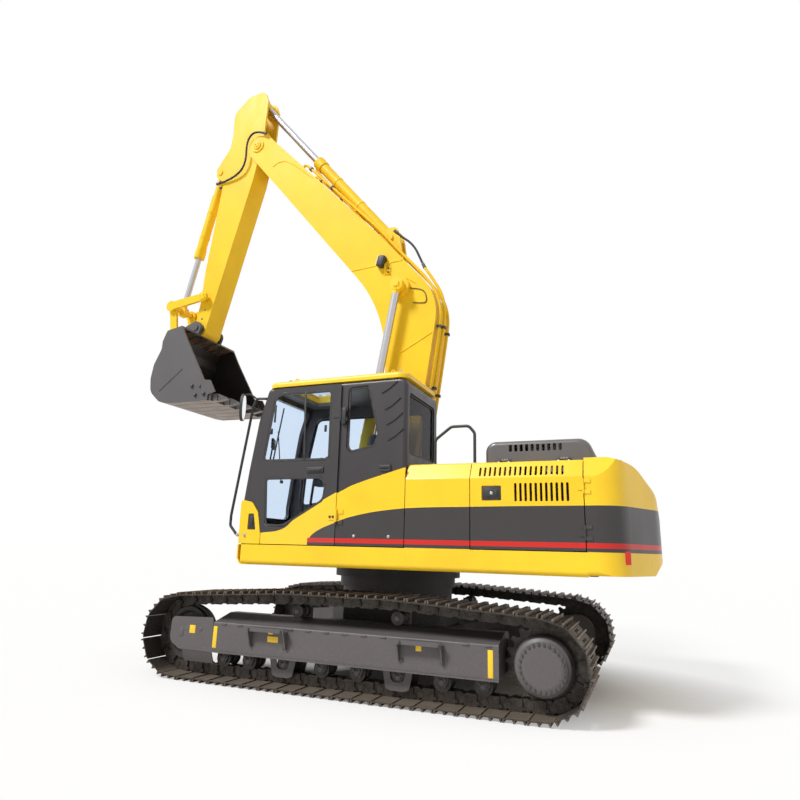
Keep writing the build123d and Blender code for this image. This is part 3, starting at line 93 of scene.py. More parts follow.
# ---- settings ---------------------------------------------------------------------------
def colour(name, description, default):
    return FloatVectorProperty(name=name, description=description, subtype="COLOR", size=3,
                               min=0, max=1, default=default)


class PaintSettings(bpy.types.PropertyGroup):
    yellow: colour("Yellow", "Main body paint", (0.97, 0.625, 0.020))
    charcoal: colour("Charcoal", "Cab, bucket and undercarriage paint", (0.026, 0.022, 0.026))
    band: colour("Band", "Dark band along the house", (0.044, 0.039, 0.041))
    stripe: colour("Stripe", "Thin stripe in the band's lower edge", (0.62, 0.018, 0.012))
    steel: colour("Track steel", "Shoes and links", (0.050, 0.042, 0.037))
    grouser: colour("Worn grousers", "Rubbed tips of the shoes", (0.23, 0.165, 0.125))
    dust: colour("Dust", "Dry soil in the recesses", (0.21, 0.17, 0.13))
    gloss: FloatProperty(name="Paint roughness", description="Roughness of the body paint",
                         default=0.30, min=0.05, max=1)


class StageSettings(bpy.types.PropertyGroup):
    sun: FloatProperty(name="Key light", description="Strength of the key light", default=3.4, min=0)
    fill: FloatProperty(name="Fill", description="Strength of the even light from all round",
                        default=0.27, min=0)
    lens: FloatProperty(name="Lens", description="Focal length", default=27.18, min=10, unit="CAMERA")


# ---- material tools ---------------------------------------------------------------------
def four(shade):
    """A colour with its alpha. What a node gives is passed on as it is."""
    return shade if isinstance(shade, bpy.types.NodeSocket) else (*shade[:3], 1.0)


class Nodes:
    """A node tree under construction."""

    def __init__(self, tree):
        self.tree = tree

    def node(self, kind, inputs=None, **settings):
        """New node with its settings, and with a value or a source for each input named."""
        made = self.tree.nodes.new("ShaderNode" + kind)
        for key, value in settings.items():
            setattr(made, key, value)
        for key, value in (inputs or {}).items():
            self.link(value, made.inputs[key])
        return made

    def link(self, source, socket):
        if isinstance(source, (int, float, tuple)):
            socket.default_value = source
        else:
            self.tree.links.new(source, socket)

    def math(self, how, *values):
        return self.node("Math", dict(enumerate(values)), operation=how).outputs[0]

    def less(self, value, limit):
        return self.math("LESS_THAN", value, limit)

    def more(self, value, limit):
        return self.math("GREATER_THAN", value, limit)

    def most(self, first, second):
        return self.math("MAXIMUM", first, second)

    def times(self, product, *factors):
        for factor in factors:
            product = self.math("MULTIPLY", product, factor)
        return product

    def ramp(self, value, low, high, low_value=0.0, high_value=1.0):
        ends = {"Value": value, "From Min": low, "From Max": high, "To Min": low_value, "To Max": high_value}
        return self.node("MapRange", ends, clamp=True).outputs["Result"]

    def mix(self, share, first, second):
        blend = self.node("Mix", {"Factor": share}, data_type="RGBA")
        for shade, socket in zip((first, second), (s for s in blend.inputs if s.type == "RGBA")):
            self.link(four(shade), socket)
        return next(s for s in blend.outputs if s.type == "RGBA")

    def surface(self, share, first, second, output):
        """Mixes two shaders into the tree's output."""
        mixed = self.node("MixShader", {0: share, 1: first.outputs[0], 2: second.outputs[0]})
        self.link(mixed.outputs[0], self.tree.nodes[output].inputs["Surface"])


class Finish(Nodes):
    """A material under construction: its Principled shader and the nodes that feed it."""

    def __init__(self, name):
        self.material = bpy.data.materials.new(name)
        self.material.use_nodes = True
        super().__init__(self.material.node_tree)
        self.shader = self.tree.nodes["Principled BSDF"]
        self.place = self.node("TexCoord").outputs["Object"]

    def axis(self, name, vector=None):
        """One coordinate of a vector, or of the place on the machine."""
        return self.node("SeparateXYZ", {0: vector or self.place}).outputs[name]

    def normal(self):
        return self.node("NewGeometry").outputs["Normal"]

    def noise(self, scale, detail=3.0, rough=0.55, stretch=None):
        place = self.place
        if stretch:
            place = self.node("Mapping", {"Vector": place, "Scale": stretch}).outputs["Vector"]
        grain = {"Scale": scale, "Detail": detail, "Roughness": rough, "Vector": place}
        return self.node("TexNoise", grain).outputs["Fac"]

    def curve(self, value, points):
        """Height in metres against X, through points in millimetres from the swing axis."""
        low, high = points[0][0], points[-1][0]
        top = max(z for _, z in points)
        spread = self.ramp(value, SWING_X + low / 1000, SWING_X + high / 1000)
        bend = self.node("FloatCurve", {"Value": spread})
        line = bend.mapping.curves[0]
        for i, (x, z) in enumerate(points):
            spot = ((x - low) / (high - low), z / top)
            if i in (0, len(points) - 1):
                line.points[0 if i == 0 else -1].location = spot
            else:
                line.points.new(*spot)
        for point in line.points:
            point.handle_type = "AUTO_CLAMPED"
        bend.mapping.update()
        return self.times(bend.outputs["Value"], top / 1000)

    def bump(self, height, strength, distance):
        lump = self.node("Bump", {"Strength": strength, "Distance": distance, "Height": height})
        self.set(Normal=lump.outputs["Normal"])

    def set(self, **values):
        for name, value in values.items():
            self.link(value, self.shader.inputs[name.replace("_", " ")])


# ---- materials --------------------------------------------------------------------------
# Lines of the livery, (X, z) in millimetres from the swing axis.
BAND_TOP = [(-2800, 1693), (-2198, 1690), (-1200, 1682), (-589, 1669), (-46, 1589), (112, 1536),
            (326, 1444), (409, 1367)]
CHARCOAL_LOW = [(-599, 2062), (-530, 1988), (-209, 1938), (-32, 1883), (128, 1818), (576, 1560),
                (680, 1478), (967, 1426)]
BAND_FRONT = SWING_X + 0.409
BAND_LOW = 1.316
STRIPE_MIDDLE, STRIPE_HALF = 1.3675, 0.0215
CAB_FOOT = 2.0             # hinges above it are charcoal
ROOF_RIM = 2.9452
# Inside this Y the track frames are painted near black as painted shade.
FRAME_INSIDE = 0.985       # the track frames' inner side
BUCKET_MIDDLE = (2960, 0, 3700)
BOOM_EYE, STICK_EYE, BUCKET_EYE = (-30, 4445), (2400, 7940), (3600, 4685)    # of the rods
EYE_REACH = 0.125
REAR_GLASS = SWING_X - 0.57
SHADE = (0.02, 0.017, 0.012)


def worn_paint(finish, base, rough, dust, dust_share, dust_top):
    """Paint with faint mottling, dry dust that thickens towards the ground, and orange peel."""
    shade = finish.mix(finish.ramp(finish.noise(2.2, 4.0), 0.35, 0.7, 0.0, 0.10), base, SHADE)
    low = finish.ramp(finish.axis("Z"), 0.0, dust_top, 1.0, 0.12)
    specks = finish.ramp(finish.noise(38.0, 6.0, 0.7), 0.48, 0.72)
    streak = finish.noise(5.0, 5.0, 0.6, (1.0, 1.0, 0.35))
    finish.set(Base_Color=finish.mix(finish.times(specks, low, dust_share * 4), shade, dust),
               Roughness=finish.ramp(streak, 0.3, 0.7, rough - 0.04, rough + 0.10))
    finish.bump(finish.noise(420.0, 2.0), 0.06, 0.0006)


def house_colour(finish, paint):
    """Yellow with the dark band that sweeps up from the door, and the thin stripe in it."""
    x, z = finish.axis("X"), finish.axis("Z")
    ahead = finish.less(x, BAND_FRONT)
    band = finish.times(finish.less(z, finish.curve(x, BAND_TOP)), finish.more(z, BAND_LOW), ahead)
    stripe = finish.times(finish.math("COMPARE", z, STRIPE_MIDDLE, STRIPE_HALF), ahead)
    return finish.mix(stripe, finish.mix(band, paint.yellow, paint.band), paint.stripe)


def door_colour(finish, paint):
    upper = finish.more(finish.axis("Z"), finish.curve(finish.axis("X"), CHARCOAL_LOW))
    return finish.mix(upper, house_colour(finish, paint), paint.charcoal)


def hinge_colour(finish, paint):
    return finish.mix(finish.more(finish.axis("Z"), CAB_FOOT), house_colour(finish, paint), paint.charcoal)


def roof_colour(finish, paint):
    return finish.mix(finish.less(finish.axis("Z"), ROOF_RIM), paint.yellow, (0.16, 0.155, 0.155))


def frame_colour_and_shade(finish, paint):
    # The frames' inner side gets a near-black painted shade, as under the upper run and the house.
    inside = finish.less(finish.math("ABSOLUTE", finish.axis("Y")), FRAME_INSIDE)
    return finish.mix(inside, (0.100, 0.090, 0.092), (0.022, 0.020, 0.019))


def bucket_colour_and_shade(finish, paint):
    """Painted shade inside, and underneath rubbed brown with fine grooves drawn as dark lines of painted
    shade.
    """
    normal = finish.normal()
    towards = finish.node("VectorMath", {0: tuple(at(*BUCKET_MIDDLE)), 1: finish.place}, operation="SUBTRACT")
    inward = finish.node("VectorMath", {0: normal, 1: towards.outputs[0]}, operation="DOT_PRODUCT")
    # Faces that look into the bucket get a near-black painted shade.
    inside = finish.more(inward.outputs["Value"], 0.02)
    shade = finish.mix(inside, (0.088, 0.084, 0.088), (0.014, 0.012, 0.012))
    under = finish.ramp(finish.axis("Z", normal), -0.55, -0.8)
    rub = finish.times(under, finish.ramp(finish.noise(22.0, 5.0, 0.7, (0.3, 1.0, 1.0)), 0.36, 0.5))
    # Thin dark lines underneath stand for grooves: painted shade in them.
    wave = finish.math("SINE", finish.times(finish.axis("Y"), 33.0))
    groove = finish.times(under, finish.ramp(wave, 0.82, 0.95))
    return finish.mix(groove, finish.mix(rub, shade, (0.24, 0.17, 0.13)), (0.03, 0.022, 0.02))


def track_steel(finish, paint):
    """Dark steel with grousers rubbed bright and dry soil on what lies flat near the ground."""
    patches = finish.noise(14.0, 6.0, 0.65)
    shade = finish.mix(finish.ramp(patches, 0.38, 0.66), paint.steel, (0.030, 0.025, 0.022))
    tip = finish.node("Attribute", attribute_name="worn").outputs["Fac"]
    rubbed = finish.times(tip, finish.ramp(finish.noise(35.0, 4.0, 0.6), 0.38, 0.6, 0.35, 1.0))
    flat = finish.times(finish.ramp(finish.axis("Z", finish.normal()), 0.7, 0.95),
                        finish.ramp(finish.axis("Z"), 0.10, 0.06), 0.75)
    soil = finish.most(finish.ramp(finish.noise(60.0, 5.0, 0.7), 0.45, 0.7, 0.0, 0.30), flat)
    finish.set(Base_Color=finish.mix(soil, finish.mix(rubbed, shade, paint.grouser), paint.dust),
               Metallic=0.45, Roughness=finish.ramp(patches, 0.3, 0.7, 0.42, 0.68))
    finish.bump(finish.noise(180.0, 4.0), 0.25, 0.0015)


def chrome(finish, paint):
    """Brushed bright rods with painted eyes."""
    flat = finish.node("CombineXYZ", {"X": finish.axis("X"), "Z": finish.axis("Z")}).outputs[0]
    eye = 0.0
    for x, z in (BOOM_EYE, STICK_EYE, BUCKET_EYE):
        reach = finish.node("VectorMath", {0: flat, 1: tuple(at(x, 0, z))}, operation="DISTANCE")
        eye = finish.most(eye, finish.less(reach.outputs["Value"], EYE_REACH))
    brushed = finish.ramp(finish.noise(30.0, 3.0, 0.5, (1, 1, 12)), 0.3, 0.7, 0.26, 0.34)
    finish.set(Base_Color=finish.mix(eye, (0.50, 0.50, 0.54), paint.yellow),
               Metallic=finish.ramp(eye, 0.0, 1.0, 0.85, 0.0),
               Roughness=finish.most(brushed, finish.times(eye, 0.34)))


def window_glass(finish, paint):
    """Clear panes, the rear one darker."""
    rear = finish.less(finish.axis("X"), REAR_GLASS)
    finish.set(Base_Color=finish.mix(rear, (0.80, 0.875, 0.965), (0.20, 0.20, 0.24)),
               Transmission_Weight=1.0, Roughness=0.02, IOR=1.12)
    finish.bump(finish.noise(1.6, 2.0), 0.02, 0.004)


def seat_cloth(finish, paint):
    threads = [finish.noise(900.0, 1.0, 0.5, way) for way in ((1.0, 0.15, 1.0), (0.15, 1.0, 1.0))]
    weave = finish.math("ADD", *threads)
    finish.set(Base_Color=finish.mix(finish.ramp(weave, 0.8, 1.2), (0.022, 0.024, 0.03), (0.07, 0.072, 0.08)),
               Roughness=0.9, Sheen_Weight=0.3)
    finish.bump(weave, 0.35, 0.0008)


def mirror(finish, paint):
    finish.set(Base_Color=(0.86, 0.87, 0.88, 1), Metallic=1.0,
               Roughness=finish.ramp(finish.noise(6.0, 2.0), 0.3, 0.7, 0.02, 0.05))


def build_finishes(paint):
    """Makes every material of the machine."""
    gloss = paint.gloss
    # Worn paints: base colour, roughness, share of dust, height it reaches, settings of the shader.
    for name, base, rough, share, top, settings in (
        ("house paint", house_colour, gloss, 0.03, 1.2,
         dict(Coat_Weight=0.2, Coat_Roughness=0.12, Specular_IOR_Level=0.3)),
        ("boom paint", paint.yellow, gloss + 0.12, 0.02, 1.2, dict(Specular_IOR_Level=0.22)),
        ("door paint", door_colour, gloss + 0.05, 0.03, 1.2, dict(Coat_Weight=0.25, Coat_Roughness=0.15)),
        ("cab paint", paint.charcoal, gloss + 0.12, 0.03, 1.2, dict(Coat_Weight=0.08, Coat_Roughness=0.25)),
        ("running gear", (0.034, 0.030, 0.029), 0.55, 0.12, 1.0, {}),
        ("hinge paint", hinge_colour, 0.4, 0.05, 1.2, {}),
        ("roof paint", roof_colour, gloss + 0.08, 0.02, 1.2, {}),
        ("cover paint", (0.115, 0.108, 0.112), 0.32, 0.03, 1.2, dict(Coat_Weight=0.3, Coat_Roughness=0.15)),
        ("hood paint", house_colour, 0.38, 0.04, 1.2, {}),
        ("undercarriage paint", frame_colour_and_shade, 0.50, 0.07, 1.0, {}),
        ("bucket paint", bucket_colour_and_shade, 0.42, 0.03, 5.0, {}),
        ("bolt steel", (0.060, 0.055, 0.054), 0.45, 0.10, 1.2, {}),
        ("plain strip", paint.yellow, 0.42, 0.06, 1.2, {}),
    ):
        finish = Finish(name)
        worn_paint(finish, base(finish, paint) if callable(base) else base, rough, paint.dust, share, top)
        finish.set(**settings)
    # Mottled materials: grain, its range, two colours, bump (scale, detail, strength, distance).
    for name, grain, spread, first, second, bump, settings in (
        ("bare steel", (40.0, 5.0), (0.35, 0.7), (0.23, 0.225, 0.22), (0.13, 0.115, 0.10),
         (240.0, 3.0, 0.15, 0.0008), dict(Metallic=0.8, Roughness=0.42)),
        ("rubber", (25.0, 4.0), (0.4, 0.75), (0.012, 0.012, 0.012), (0.04, 0.038, 0.035),
         (300.0, 2.0, 0.1, 0.0006), dict(Roughness=0.62)),
        ("black plastic", (12.0, 3.0), (0.4, 0.7), (0.016, 0.016, 0.017), (0.03, 0.03, 0.03),
         (600.0, 2.0, 0.18, 0.0005), dict(Roughness=0.48)),
        ("engine iron", (9.0, 5.0), (0.35, 0.7), (0.16, 0.16, 0.155), (0.07, 0.065, 0.06),
         (90.0, 3.0, 0.3, 0.002), dict(Roughness=0.6, Metallic=0.3)),
        ("lamp lens", (200.0, 1.0), (0.4, 0.6), (0.75, 0.78, 0.8), (0.92, 0.94, 0.95),
         None, dict(Roughness=0.08, Metallic=0.6)),
        ("red reflector", (220.0, 1.0), (0.4, 0.6), (0.45, 0.008, 0.008), (0.62, 0.02, 0.015),
         None, dict(Roughness=0.15)),
        ("bright steel", (60.0, 4.0), (0.35, 0.7), (0.55, 0.55, 0.54), (0.36, 0.34, 0.31),
         (300.0, 2.0, 0.1, 0.0005), dict(Metallic=0.85, Roughness=0.34)),
    ):
        finish = Finish(name)
        share = finish.ramp(finish.noise(*grain), *spread)
        finish.set(Base_Color=finish.mix(share, first, second), **settings)
        if bump:
            finish.bump(finish.noise(*bump[:2]), *bump[2:])
    for name, build in (("track steel", track_steel), ("chrome", chrome), ("window glass", window_glass),
                        ("seat cloth", seat_cloth), ("mirror", mirror)):
        build(Finish(name), paint)


NODE_FINISH = {
    "house paint": ["side_panels", "side_door_left", "side_door_right", "counterweight", "tanks", "tool_box",
                    "cab_skirt", "side_rails"],
    "boom paint": ["boom", "stick", "boom_cylinder_tubes", "stick_cylinder_tube", "bucket_cylinder_tube",
                   "idler_link", "power_link", "nose_shaft", "boom_cheeks", "cylinder_brackets"],
    "door paint": ["cab_door"],
    "hinge paint": ["hinges"],
    "cab paint": ["cab_floor", "cab_left_side", "cab_right_side", "cab_front", "cab_back"],
    "cover paint": ["engine_cover"],
    "hood paint": ["hood_deck"],
    "undercarriage paint": ["side_frames", "final_drives"],
    "running gear": ["car_body", "swing_bearing", "rollers", "idlers", "deck_floor", "deck_beams"],
    "bucket paint": ["bucket", "bucket_teeth"],
    "track steel": ["track_left", "track_right", "sprockets"],
    "chrome": ["boom_cylinder_rods", "stick_cylinder_rod", "bucket_cylinder_rod"],
    "bare steel": ["boom_foot_pin"],
    "roof paint": ["cab_roof"],
    "window glass": ["cab_glass", "door_glass"],
    "black plastic": ["controls", "handrails"],
    "seat cloth": ["seat"],
    "engine iron": ["engine", "exhaust"],
}


# ---- mesh tools -------------------------------------------------------------------------
def touch(node, place, way):
    """Point where a ray from a place first meets a CAD node."""
    if node not in touch.trees:
        touch.trees[node] = BVHTree.FromObject(NODES[node], bpy.context.evaluated_depsgraph_get())
    hit = touch.trees[node].ray_cast(place, way)[0]
    if hit is None:
        raise RuntimeError(f"{node} has no face from {tuple(place)}")
    return hit


touch.trees = {}


def skin(node, x, z, side=LEFT):
    """Point on a CAD node's outer face at X and z, seen from the left or the right."""
    return touch(node, at(x, side.y * 3000, z), -side)


def spun(degrees, axis):
    return Matrix.Rotation(math.radians(degrees), 4, axis)


def facing(place, direction, turn=0.0):
    """Matrix that stands a shape's own Z along direction at a place."""
    turned = Vector(direction).to_track_quat("Z", "Y").to_matrix().to_4x4()
    return Matrix.Translation(place) @ turned @ Matrix.Rotation(turn, 4, "Z")


def soften(shape, geometry, size, segments=2, affect="EDGES"):
    """Rounds edges or corners by a size in millimetres."""
    bmesh.ops.bevel(shape, geom=list(geometry), offset=size / 1000, affect=affect, segments=segments,
                    profile=0.5, material=-1, clamp_overlap=True)


def add_round(shape, place, direction, radius, height, top=None, segments=24, rounding=0.0, turn=0.0):
    """Round boss, foot at place, that rises along direction. Sizes in millimetres."""
    direction = Vector(direction).normalized()
    middle = place + direction * height / 2000
    made = bmesh.ops.create_cone(shape, cap_ends=True, segments=segments, radius1=radius / 1000,
                                 radius2=(radius if top is None else top) / 1000, depth=height / 1000,
                                 matrix=facing(middle, direction, turn))
    if rounding:
        head = {f for v in made["verts"] for f in v.link_faces
                if f.normal.dot(direction) > 0.99 and len(f.verts) > 4}
        soften(shape, {edge for face in head for edge in face.edges}, rounding)


def add_bar(shape, start, end, radius, segments):
    """Straight round bar between two places."""
    add_round(shape, start, end - start, radius, (end - start).length * 1000, None, segments)


def add_box(shape, centre, size, rounding=2.0, turn=None, segments=2):
    """Box round a centre with rounded edges, turned by a matrix if one is given."""
    placed = Matrix.Translation(centre) @ (turn or Matrix.Identity(4))
    made = bmesh.ops.create_cube(shape, size=1.0, matrix=placed @ Matrix.Diagonal((*mm(*size), 1)))
    soften(shape, {e for v in made["verts"] for e in v.link_edges}, rounding, segments)


def add_bolt(shape, place, direction, size, washer=True, turn=0.0):
    """Hexagon bolt head on its washer. Size is across the corners, in millimetres."""
    direction = Vector(direction).normalized()
    if washer:
        add_round(shape, place, direction, size * 0.68, size * 0.14, size * 0.62, 16)
        place = place + direction * size * 0.14 / 1000
    add_round(shape, place, direction, size / 2, size * 0.36, size / 2, 6, 0.0, turn)
    face = place + direction * size * 0.36 / 1000
    add_round(shape, face, direction, size * 0.42, size * 0.05, size * 0.32, 12)


def add_bolt_ring(shape, centre, side, radius, size, first):
    """Three bolts in a circle on a pin's cap, the first at an angle in radians."""
    for i in range(3):
        angle = first + 2.1 * i
        add_bolt(shape, centre + mm(radius * math.cos(angle), 0, radius * math.sin(angle)), side, size)


def flat_face(points, rounding=0.0, segments=5):
    """New mesh with one face through its points, the corners rounded."""
    shape = bmesh.new()
    shape.faces.new([shape.verts.new(point) for point in points])
    if rounding:
        soften(shape, shape.verts, rounding, segments, "VERTICES")
    return shape


def thicken(shape, direction, thickness, rounding=0.0):
    """Raises flat faces into a closed plate, its raised rim rounded."""
    made = bmesh.ops.extrude_face_region(shape, geom=shape.faces[:])
    corners = [v for v in made["geom"] if isinstance(v, bmesh.types.BMVert)]
    bmesh.ops.translate(shape, verts=corners, vec=Vector(direction) * thickness / 1000)
    bmesh.ops.recalc_face_normals(shape, faces=shape.faces[:])
    if rounding:
        raised = set(corners)
        rim = [e for e in shape.edges if set(e.verts) <= raised and e.calc_face_angle(0) > 0.8]
        soften(shape, rim, rounding)
    return shape


def ring_of(shape, width):
    """Keeps only a rim of a width in millimetres round a flat face."""
    inner = shape.faces[:]
    bmesh.ops.inset_region(shape, faces=inner, thickness=width / 1000, use_even_offset=True,
                           use_boundary=True)
    bmesh.ops.delete(shape, geom=inner, context="FACES")
    return shape


def join(shape, part):
    """Adds a finished part to a shape."""
    holder = bpy.data.meshes.new("part")
    part.to_mesh(holder)
    part.free()
    shape.from_mesh(holder)
    bpy.data.meshes.remove(holder)


def add_sleeve(shape, place, direction, inner, outer, height):
    """Open band between two radii, foot at place, that rises along direction."""
    band = bmesh.new()
    bmesh.ops.create_circle(band, cap_ends=True, segments=40, radius=outer / 1000,
                            matrix=facing(place, direction))
    join(shape, thicken(ring_of(band, outer - inner), Vector(direction).normalized(), height, 1.5))


def add_ring(shape, centre, axis, radius, wire):
    """Round bar bent into a ring about an axis."""
    out = axis.orthogonal().normalized()
    ring = bmesh.new()
    bmesh.ops.create_circle(ring, segments=10, radius=wire / 1000,
                            matrix=facing(centre + out * radius / 1000, out.cross(axis)))
    bmesh.ops.spin(ring, geom=ring.verts[:] + ring.edges[:], cent=centre, axis=axis, angle=math.tau, steps=28,
                   use_merge=True)
    bmesh.ops.remove_doubles(ring, verts=ring.verts[:], dist=1e-5)
    bmesh.ops.recalc_face_normals(ring, faces=ring.faces[:])
    join(shape, ring)


def add_plate(shape, points, direction, thickness, corner=0.0, rounding=1.5):
    join(shape, thicken(flat_face(points, corner), direction, thickness, rounding))


def add_seal(shape, points, direction, width, depth, corner):
    join(shape, thicken(ring_of(flat_face(points, corner, 6), width), direction, depth, depth * 0.35))


def set_down(name, data):
    """New object in the scene."""
    made = bpy.data.objects.new(name, data)
    bpy.context.scene.collection.objects.link(made)
    return made


def dressed(name, mesh, finish):
    """Object of a mesh, smooth and in one finish."""
    mesh.materials.clear()
    mesh.materials.append(bpy.data.materials[finish])
    for face in mesh.polygons:
        face.use_smooth = True
    return set_down(name, mesh)


def mesh_of(name, shape):
    mesh = bpy.data.meshes.new(name)
    shape.to_mesh(mesh)
    shape.free()
    return mesh


def piece_from(name, shape, body, finish, angle=35.0):
    """Makes an object of a shape, gives it its finish and sets it on its body."""
    bmesh.ops.remove_doubles(shape, verts=shape.verts, dist=1e-6)
    shape.normal_update()
    made = dressed(name, mesh_of(name, shape), finish)
    made.data.set_sharp_from_angle(angle=math.radians(angle))
    if body:
        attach(made, body)
    return made


def line_mesh(name, points, radius, resolution=6):
    """Round section along a smooth line through its control points; radius 0 gives the bare path."""
    curve = bpy.data.curves.new(name, "CURVE")
    curve.dimensions = "3D"
    curve.bevel_depth = radius / 1000
    curve.bevel_resolution = 3
    curve.resolution_u = resolution
    curve.use_fill_caps = True
    line = curve.splines.new("NURBS")
    line.points.add(len(points) - 1)
    for spot, point in zip(line.points, points):
        spot.co = (*point, 1)
    line.order_u = 3
    line.use_endpoint_u = True
    holder = set_down(name, curve)
    bpy.context.view_layer.update()
    mesh = bpy.data.meshes.new_from_object(holder)
    bpy.data.objects.remove(holder)
    bpy.data.curves.remove(curve)
    return mesh


def pipe(name, points, radius, body, finish, resolution=6):
    """Rigid pipe along points in a smooth line, as a mesh."""
    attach(dressed(name, line_mesh(name + "_line", points, radius, resolution), finish), body)


# ---- operators --------------------------------------------------------------------------
class EXCAVATOR_OT_finishes(bpy.types.Operator):
    """Make every material and give each CAD node its finish"""
    bl_idname = "excavator.finishes"
    bl_label = "Finishes"

    def execute(self, context):
        build_finishes(context.scene.excavator_paint)
        for finish, names in NODE_FINISH.items():
            for name in names:
                NODES[name].data.materials.clear()
                NODES[name].data.materials.append(bpy.data.materials[finish])
        left = set(NODES) - {n for names in NODE_FINISH.values() for n in names}
        if left:
            raise RuntimeError(f"no finish for {sorted(left)}")
        return {"FINISHED"}


# Track, in millimetres from the swing axis.
TRACK_Y = 1190.0
WHEEL_HALF = 1825.0        # half the wheel base
WHEEL_Z = 412.0
PITCH_RADIUS = 322.3
CHAIN_LOW = 88.0
TOUCH = 1417.0             # end of the ground run
STRAND_Z = 808.3           # upper run over the carrier rollers
CARRIER_XS = (529.25, -518.3)
ROLLER_XS = (1337.0, 1031.9, 632.2, 228.1, -143.1, -547.1, -950.8, -1314.0)
ROLLER_Z = 204.3
SHOE_COUNT = 49
SHOE_WIDTH = 600.0
SHOE_FACE = 52.0           # shoe's inner face above the pins
SHOE_THICK = 10.0
GROUSER = 26.0
LINK_PLATE = [(-24, -46), (62, -52), (84, -40), (126, -30), (134, 0), (122, 32), (88, 36), (74, 52),
              (-24, 52)]
ARC_STEPS = 60


def chain_line():
    """The chain's line round the track, from the ground run's rear end, finely divided."""
    def arc(centre, start, end):
        angles = [start + (end - start) * i / ARC_STEPS for i in range(ARC_STEPS + 1)]
        return [(centre + PITCH_RADIUS * math.cos(a), WHEEL_Z + PITCH_RADIUS * math.sin(a)) for a in angles]

    def lift(reach):
        rise = STRAND_Z - WHEEL_Z
        return math.atan2(rise, reach) - math.acos(PITCH_RADIUS / math.hypot(reach, rise))

    drop = math.hypot(WHEEL_HALF - TOUCH, WHEEL_Z - CHAIN_LOW)
    leave = math.atan2(CHAIN_LOW - WHEEL_Z, TOUCH - WHEEL_HALF) + math.acos(PITCH_RADIUS / drop)
    front = lift(CARRIER_XS[0] - WHEEL_HALF)
    rear = math.pi - lift(-WHEEL_HALF - CARRIER_XS[1])
    line = [(-TOUCH, CHAIN_LOW), (TOUCH, CHAIN_LOW)]
    line += arc(WHEEL_HALF, leave, front)
    line += [(x, STRAND_Z) for x in CARRIER_XS]
    line += arc(-WHEEL_HALF, rear, math.pi - leave)
    return line + [line[0]]


def chain_pins():
    """The chain's pins (X, z), evenly spaced round its line, and their pitch."""
    line = chain_line()
    lengths = [math.dist(a, b) for a, b in zip(line, line[1:])]
    pitch = sum(lengths) / SHOE_COUNT
    pins = []
    for i in range(SHOE_COUNT):
        left = (i + 0.5) * pitch
        for (start, end), length in zip(zip(line, line[1:]), lengths):
            if left <= length:
                break
            left -= length
        share = left / length
        pins.append((start[0] + (end[0] - start[0]) * share, start[1] + (end[1] - start[1]) * share))
    return pins, pitch


class EXCAVATOR_OT_tracks(bpy.types.Operator):
    """Build both tracks of shoes with three grousers, link plates, pins and bolts"""
    bl_idname = "excavator.tracks"
    bl_label = "Tracks"

    def execute(self, context):
        pins, pitch = chain_pins()
        link = mesh_of("link", self.link(pitch))
        for side, node in ((1, "track_left"), (-1, "track_right")):
            shape = bmesh.new()
            for here, there in zip(pins, pins[1:] + pins[:1]):
                count = len(shape.verts)
                shape.from_mesh(link)
                shape.verts.ensure_lookup_table()
                run = Vector((there[0] - here[0], 0, there[1] - here[1])).normalized()
                placed = Matrix((run, RIGHT, run.cross(RIGHT))).transposed().to_4x4()
                placed.translation = at((here[0] + there[0]) / 2, side * TRACK_Y, (here[1] + there[1]) / 2)
                bmesh.ops.transform(shape, matrix=placed, verts=shape.verts[count:])
            piece = piece_from(node + "_chain", shape, "undercarriage", "track steel", 40)
            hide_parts(node)
        bpy.data.meshes.remove(link)
        return {"FINISHED"}

    def link(self, pitch):
        """One link: its own X along the chain, Z outwards, round the middle between two pins."""
        shape = bmesh.new()
        half = pitch / 2 - 4
        low, top = SHOE_FACE, SHOE_FACE + SHOE_THICK
        tip = top + GROUSER
        section = [(-half, low), (-half - 26, low - 9), (-half - 26, low - 2), (-half, top - 3),
                   (-half, tip - 3), (-half + 3, tip), (-half + 10, tip), (-half + 20, top), (-13, top),
                   (-6, tip), (6, tip), (13, top), (half - 20, top), (half - 10, tip), (half - 3, tip),
                   (half, tip - 3), (half, low)]
        join(shape, thicken(flat_face([mm(x, -SHOE_WIDTH / 2, z) for x, z in section]), LEFT, SHOE_WIDTH))
        for x in (-46, 46):
            for y in (-52, 52):
                add_round(shape, mm(x, y, top), UP, 13, 9, 12, 6)
        for out in (RIGHT, LEFT):
            for end, y in ((-1, 35), (1, 52)):
                plate = LINK_PLATE[::end]
                face = flat_face([mm(end * x, out.y * y, z) for x, z in plate])
                join(shape, thicken(face, out, 17))
            for x in (-34, 34):
                add_round(shape, mm(x, out.y * 68.5, 24), out, 15, 3.5, 15, 6)
            add_round(shape, mm(pitch / 2, out.y * 30, 0), out, 31, 44, 29, 14)
            add_round(shape, mm(pitch / 2, out.y * 72, 0), out, 19, 4, 17, 10)
        add_round(shape, mm(pitch / 2, -36, 0), LEFT, 30, 72, None, 12)
        worn = shape.verts.layers.float.new("worn")
        for corner in shape.verts:
            corner[worn] = 1.0 if corner.co.z > (tip - 5) / 1000 else 0.0
        return shape


# Blank strips on the track frames: X, z, width and height.
STRIPS = ((1372, 415, 46, 200), (1655, 470, 70, 76), (728, 506, 52, 44), (700, 440, 118, 52),
          (-775, 480, 52, 52), (-1405, 405, 44, 215))
STEPS = ((550, 954), (-1005, -602))    # ends of the step plates, X
DRUM_BOLTS, DRUM_CIRCLE = 26, 175
CARRIER_CAP = (89, 692.8)              # beyond TRACK_Y, and z


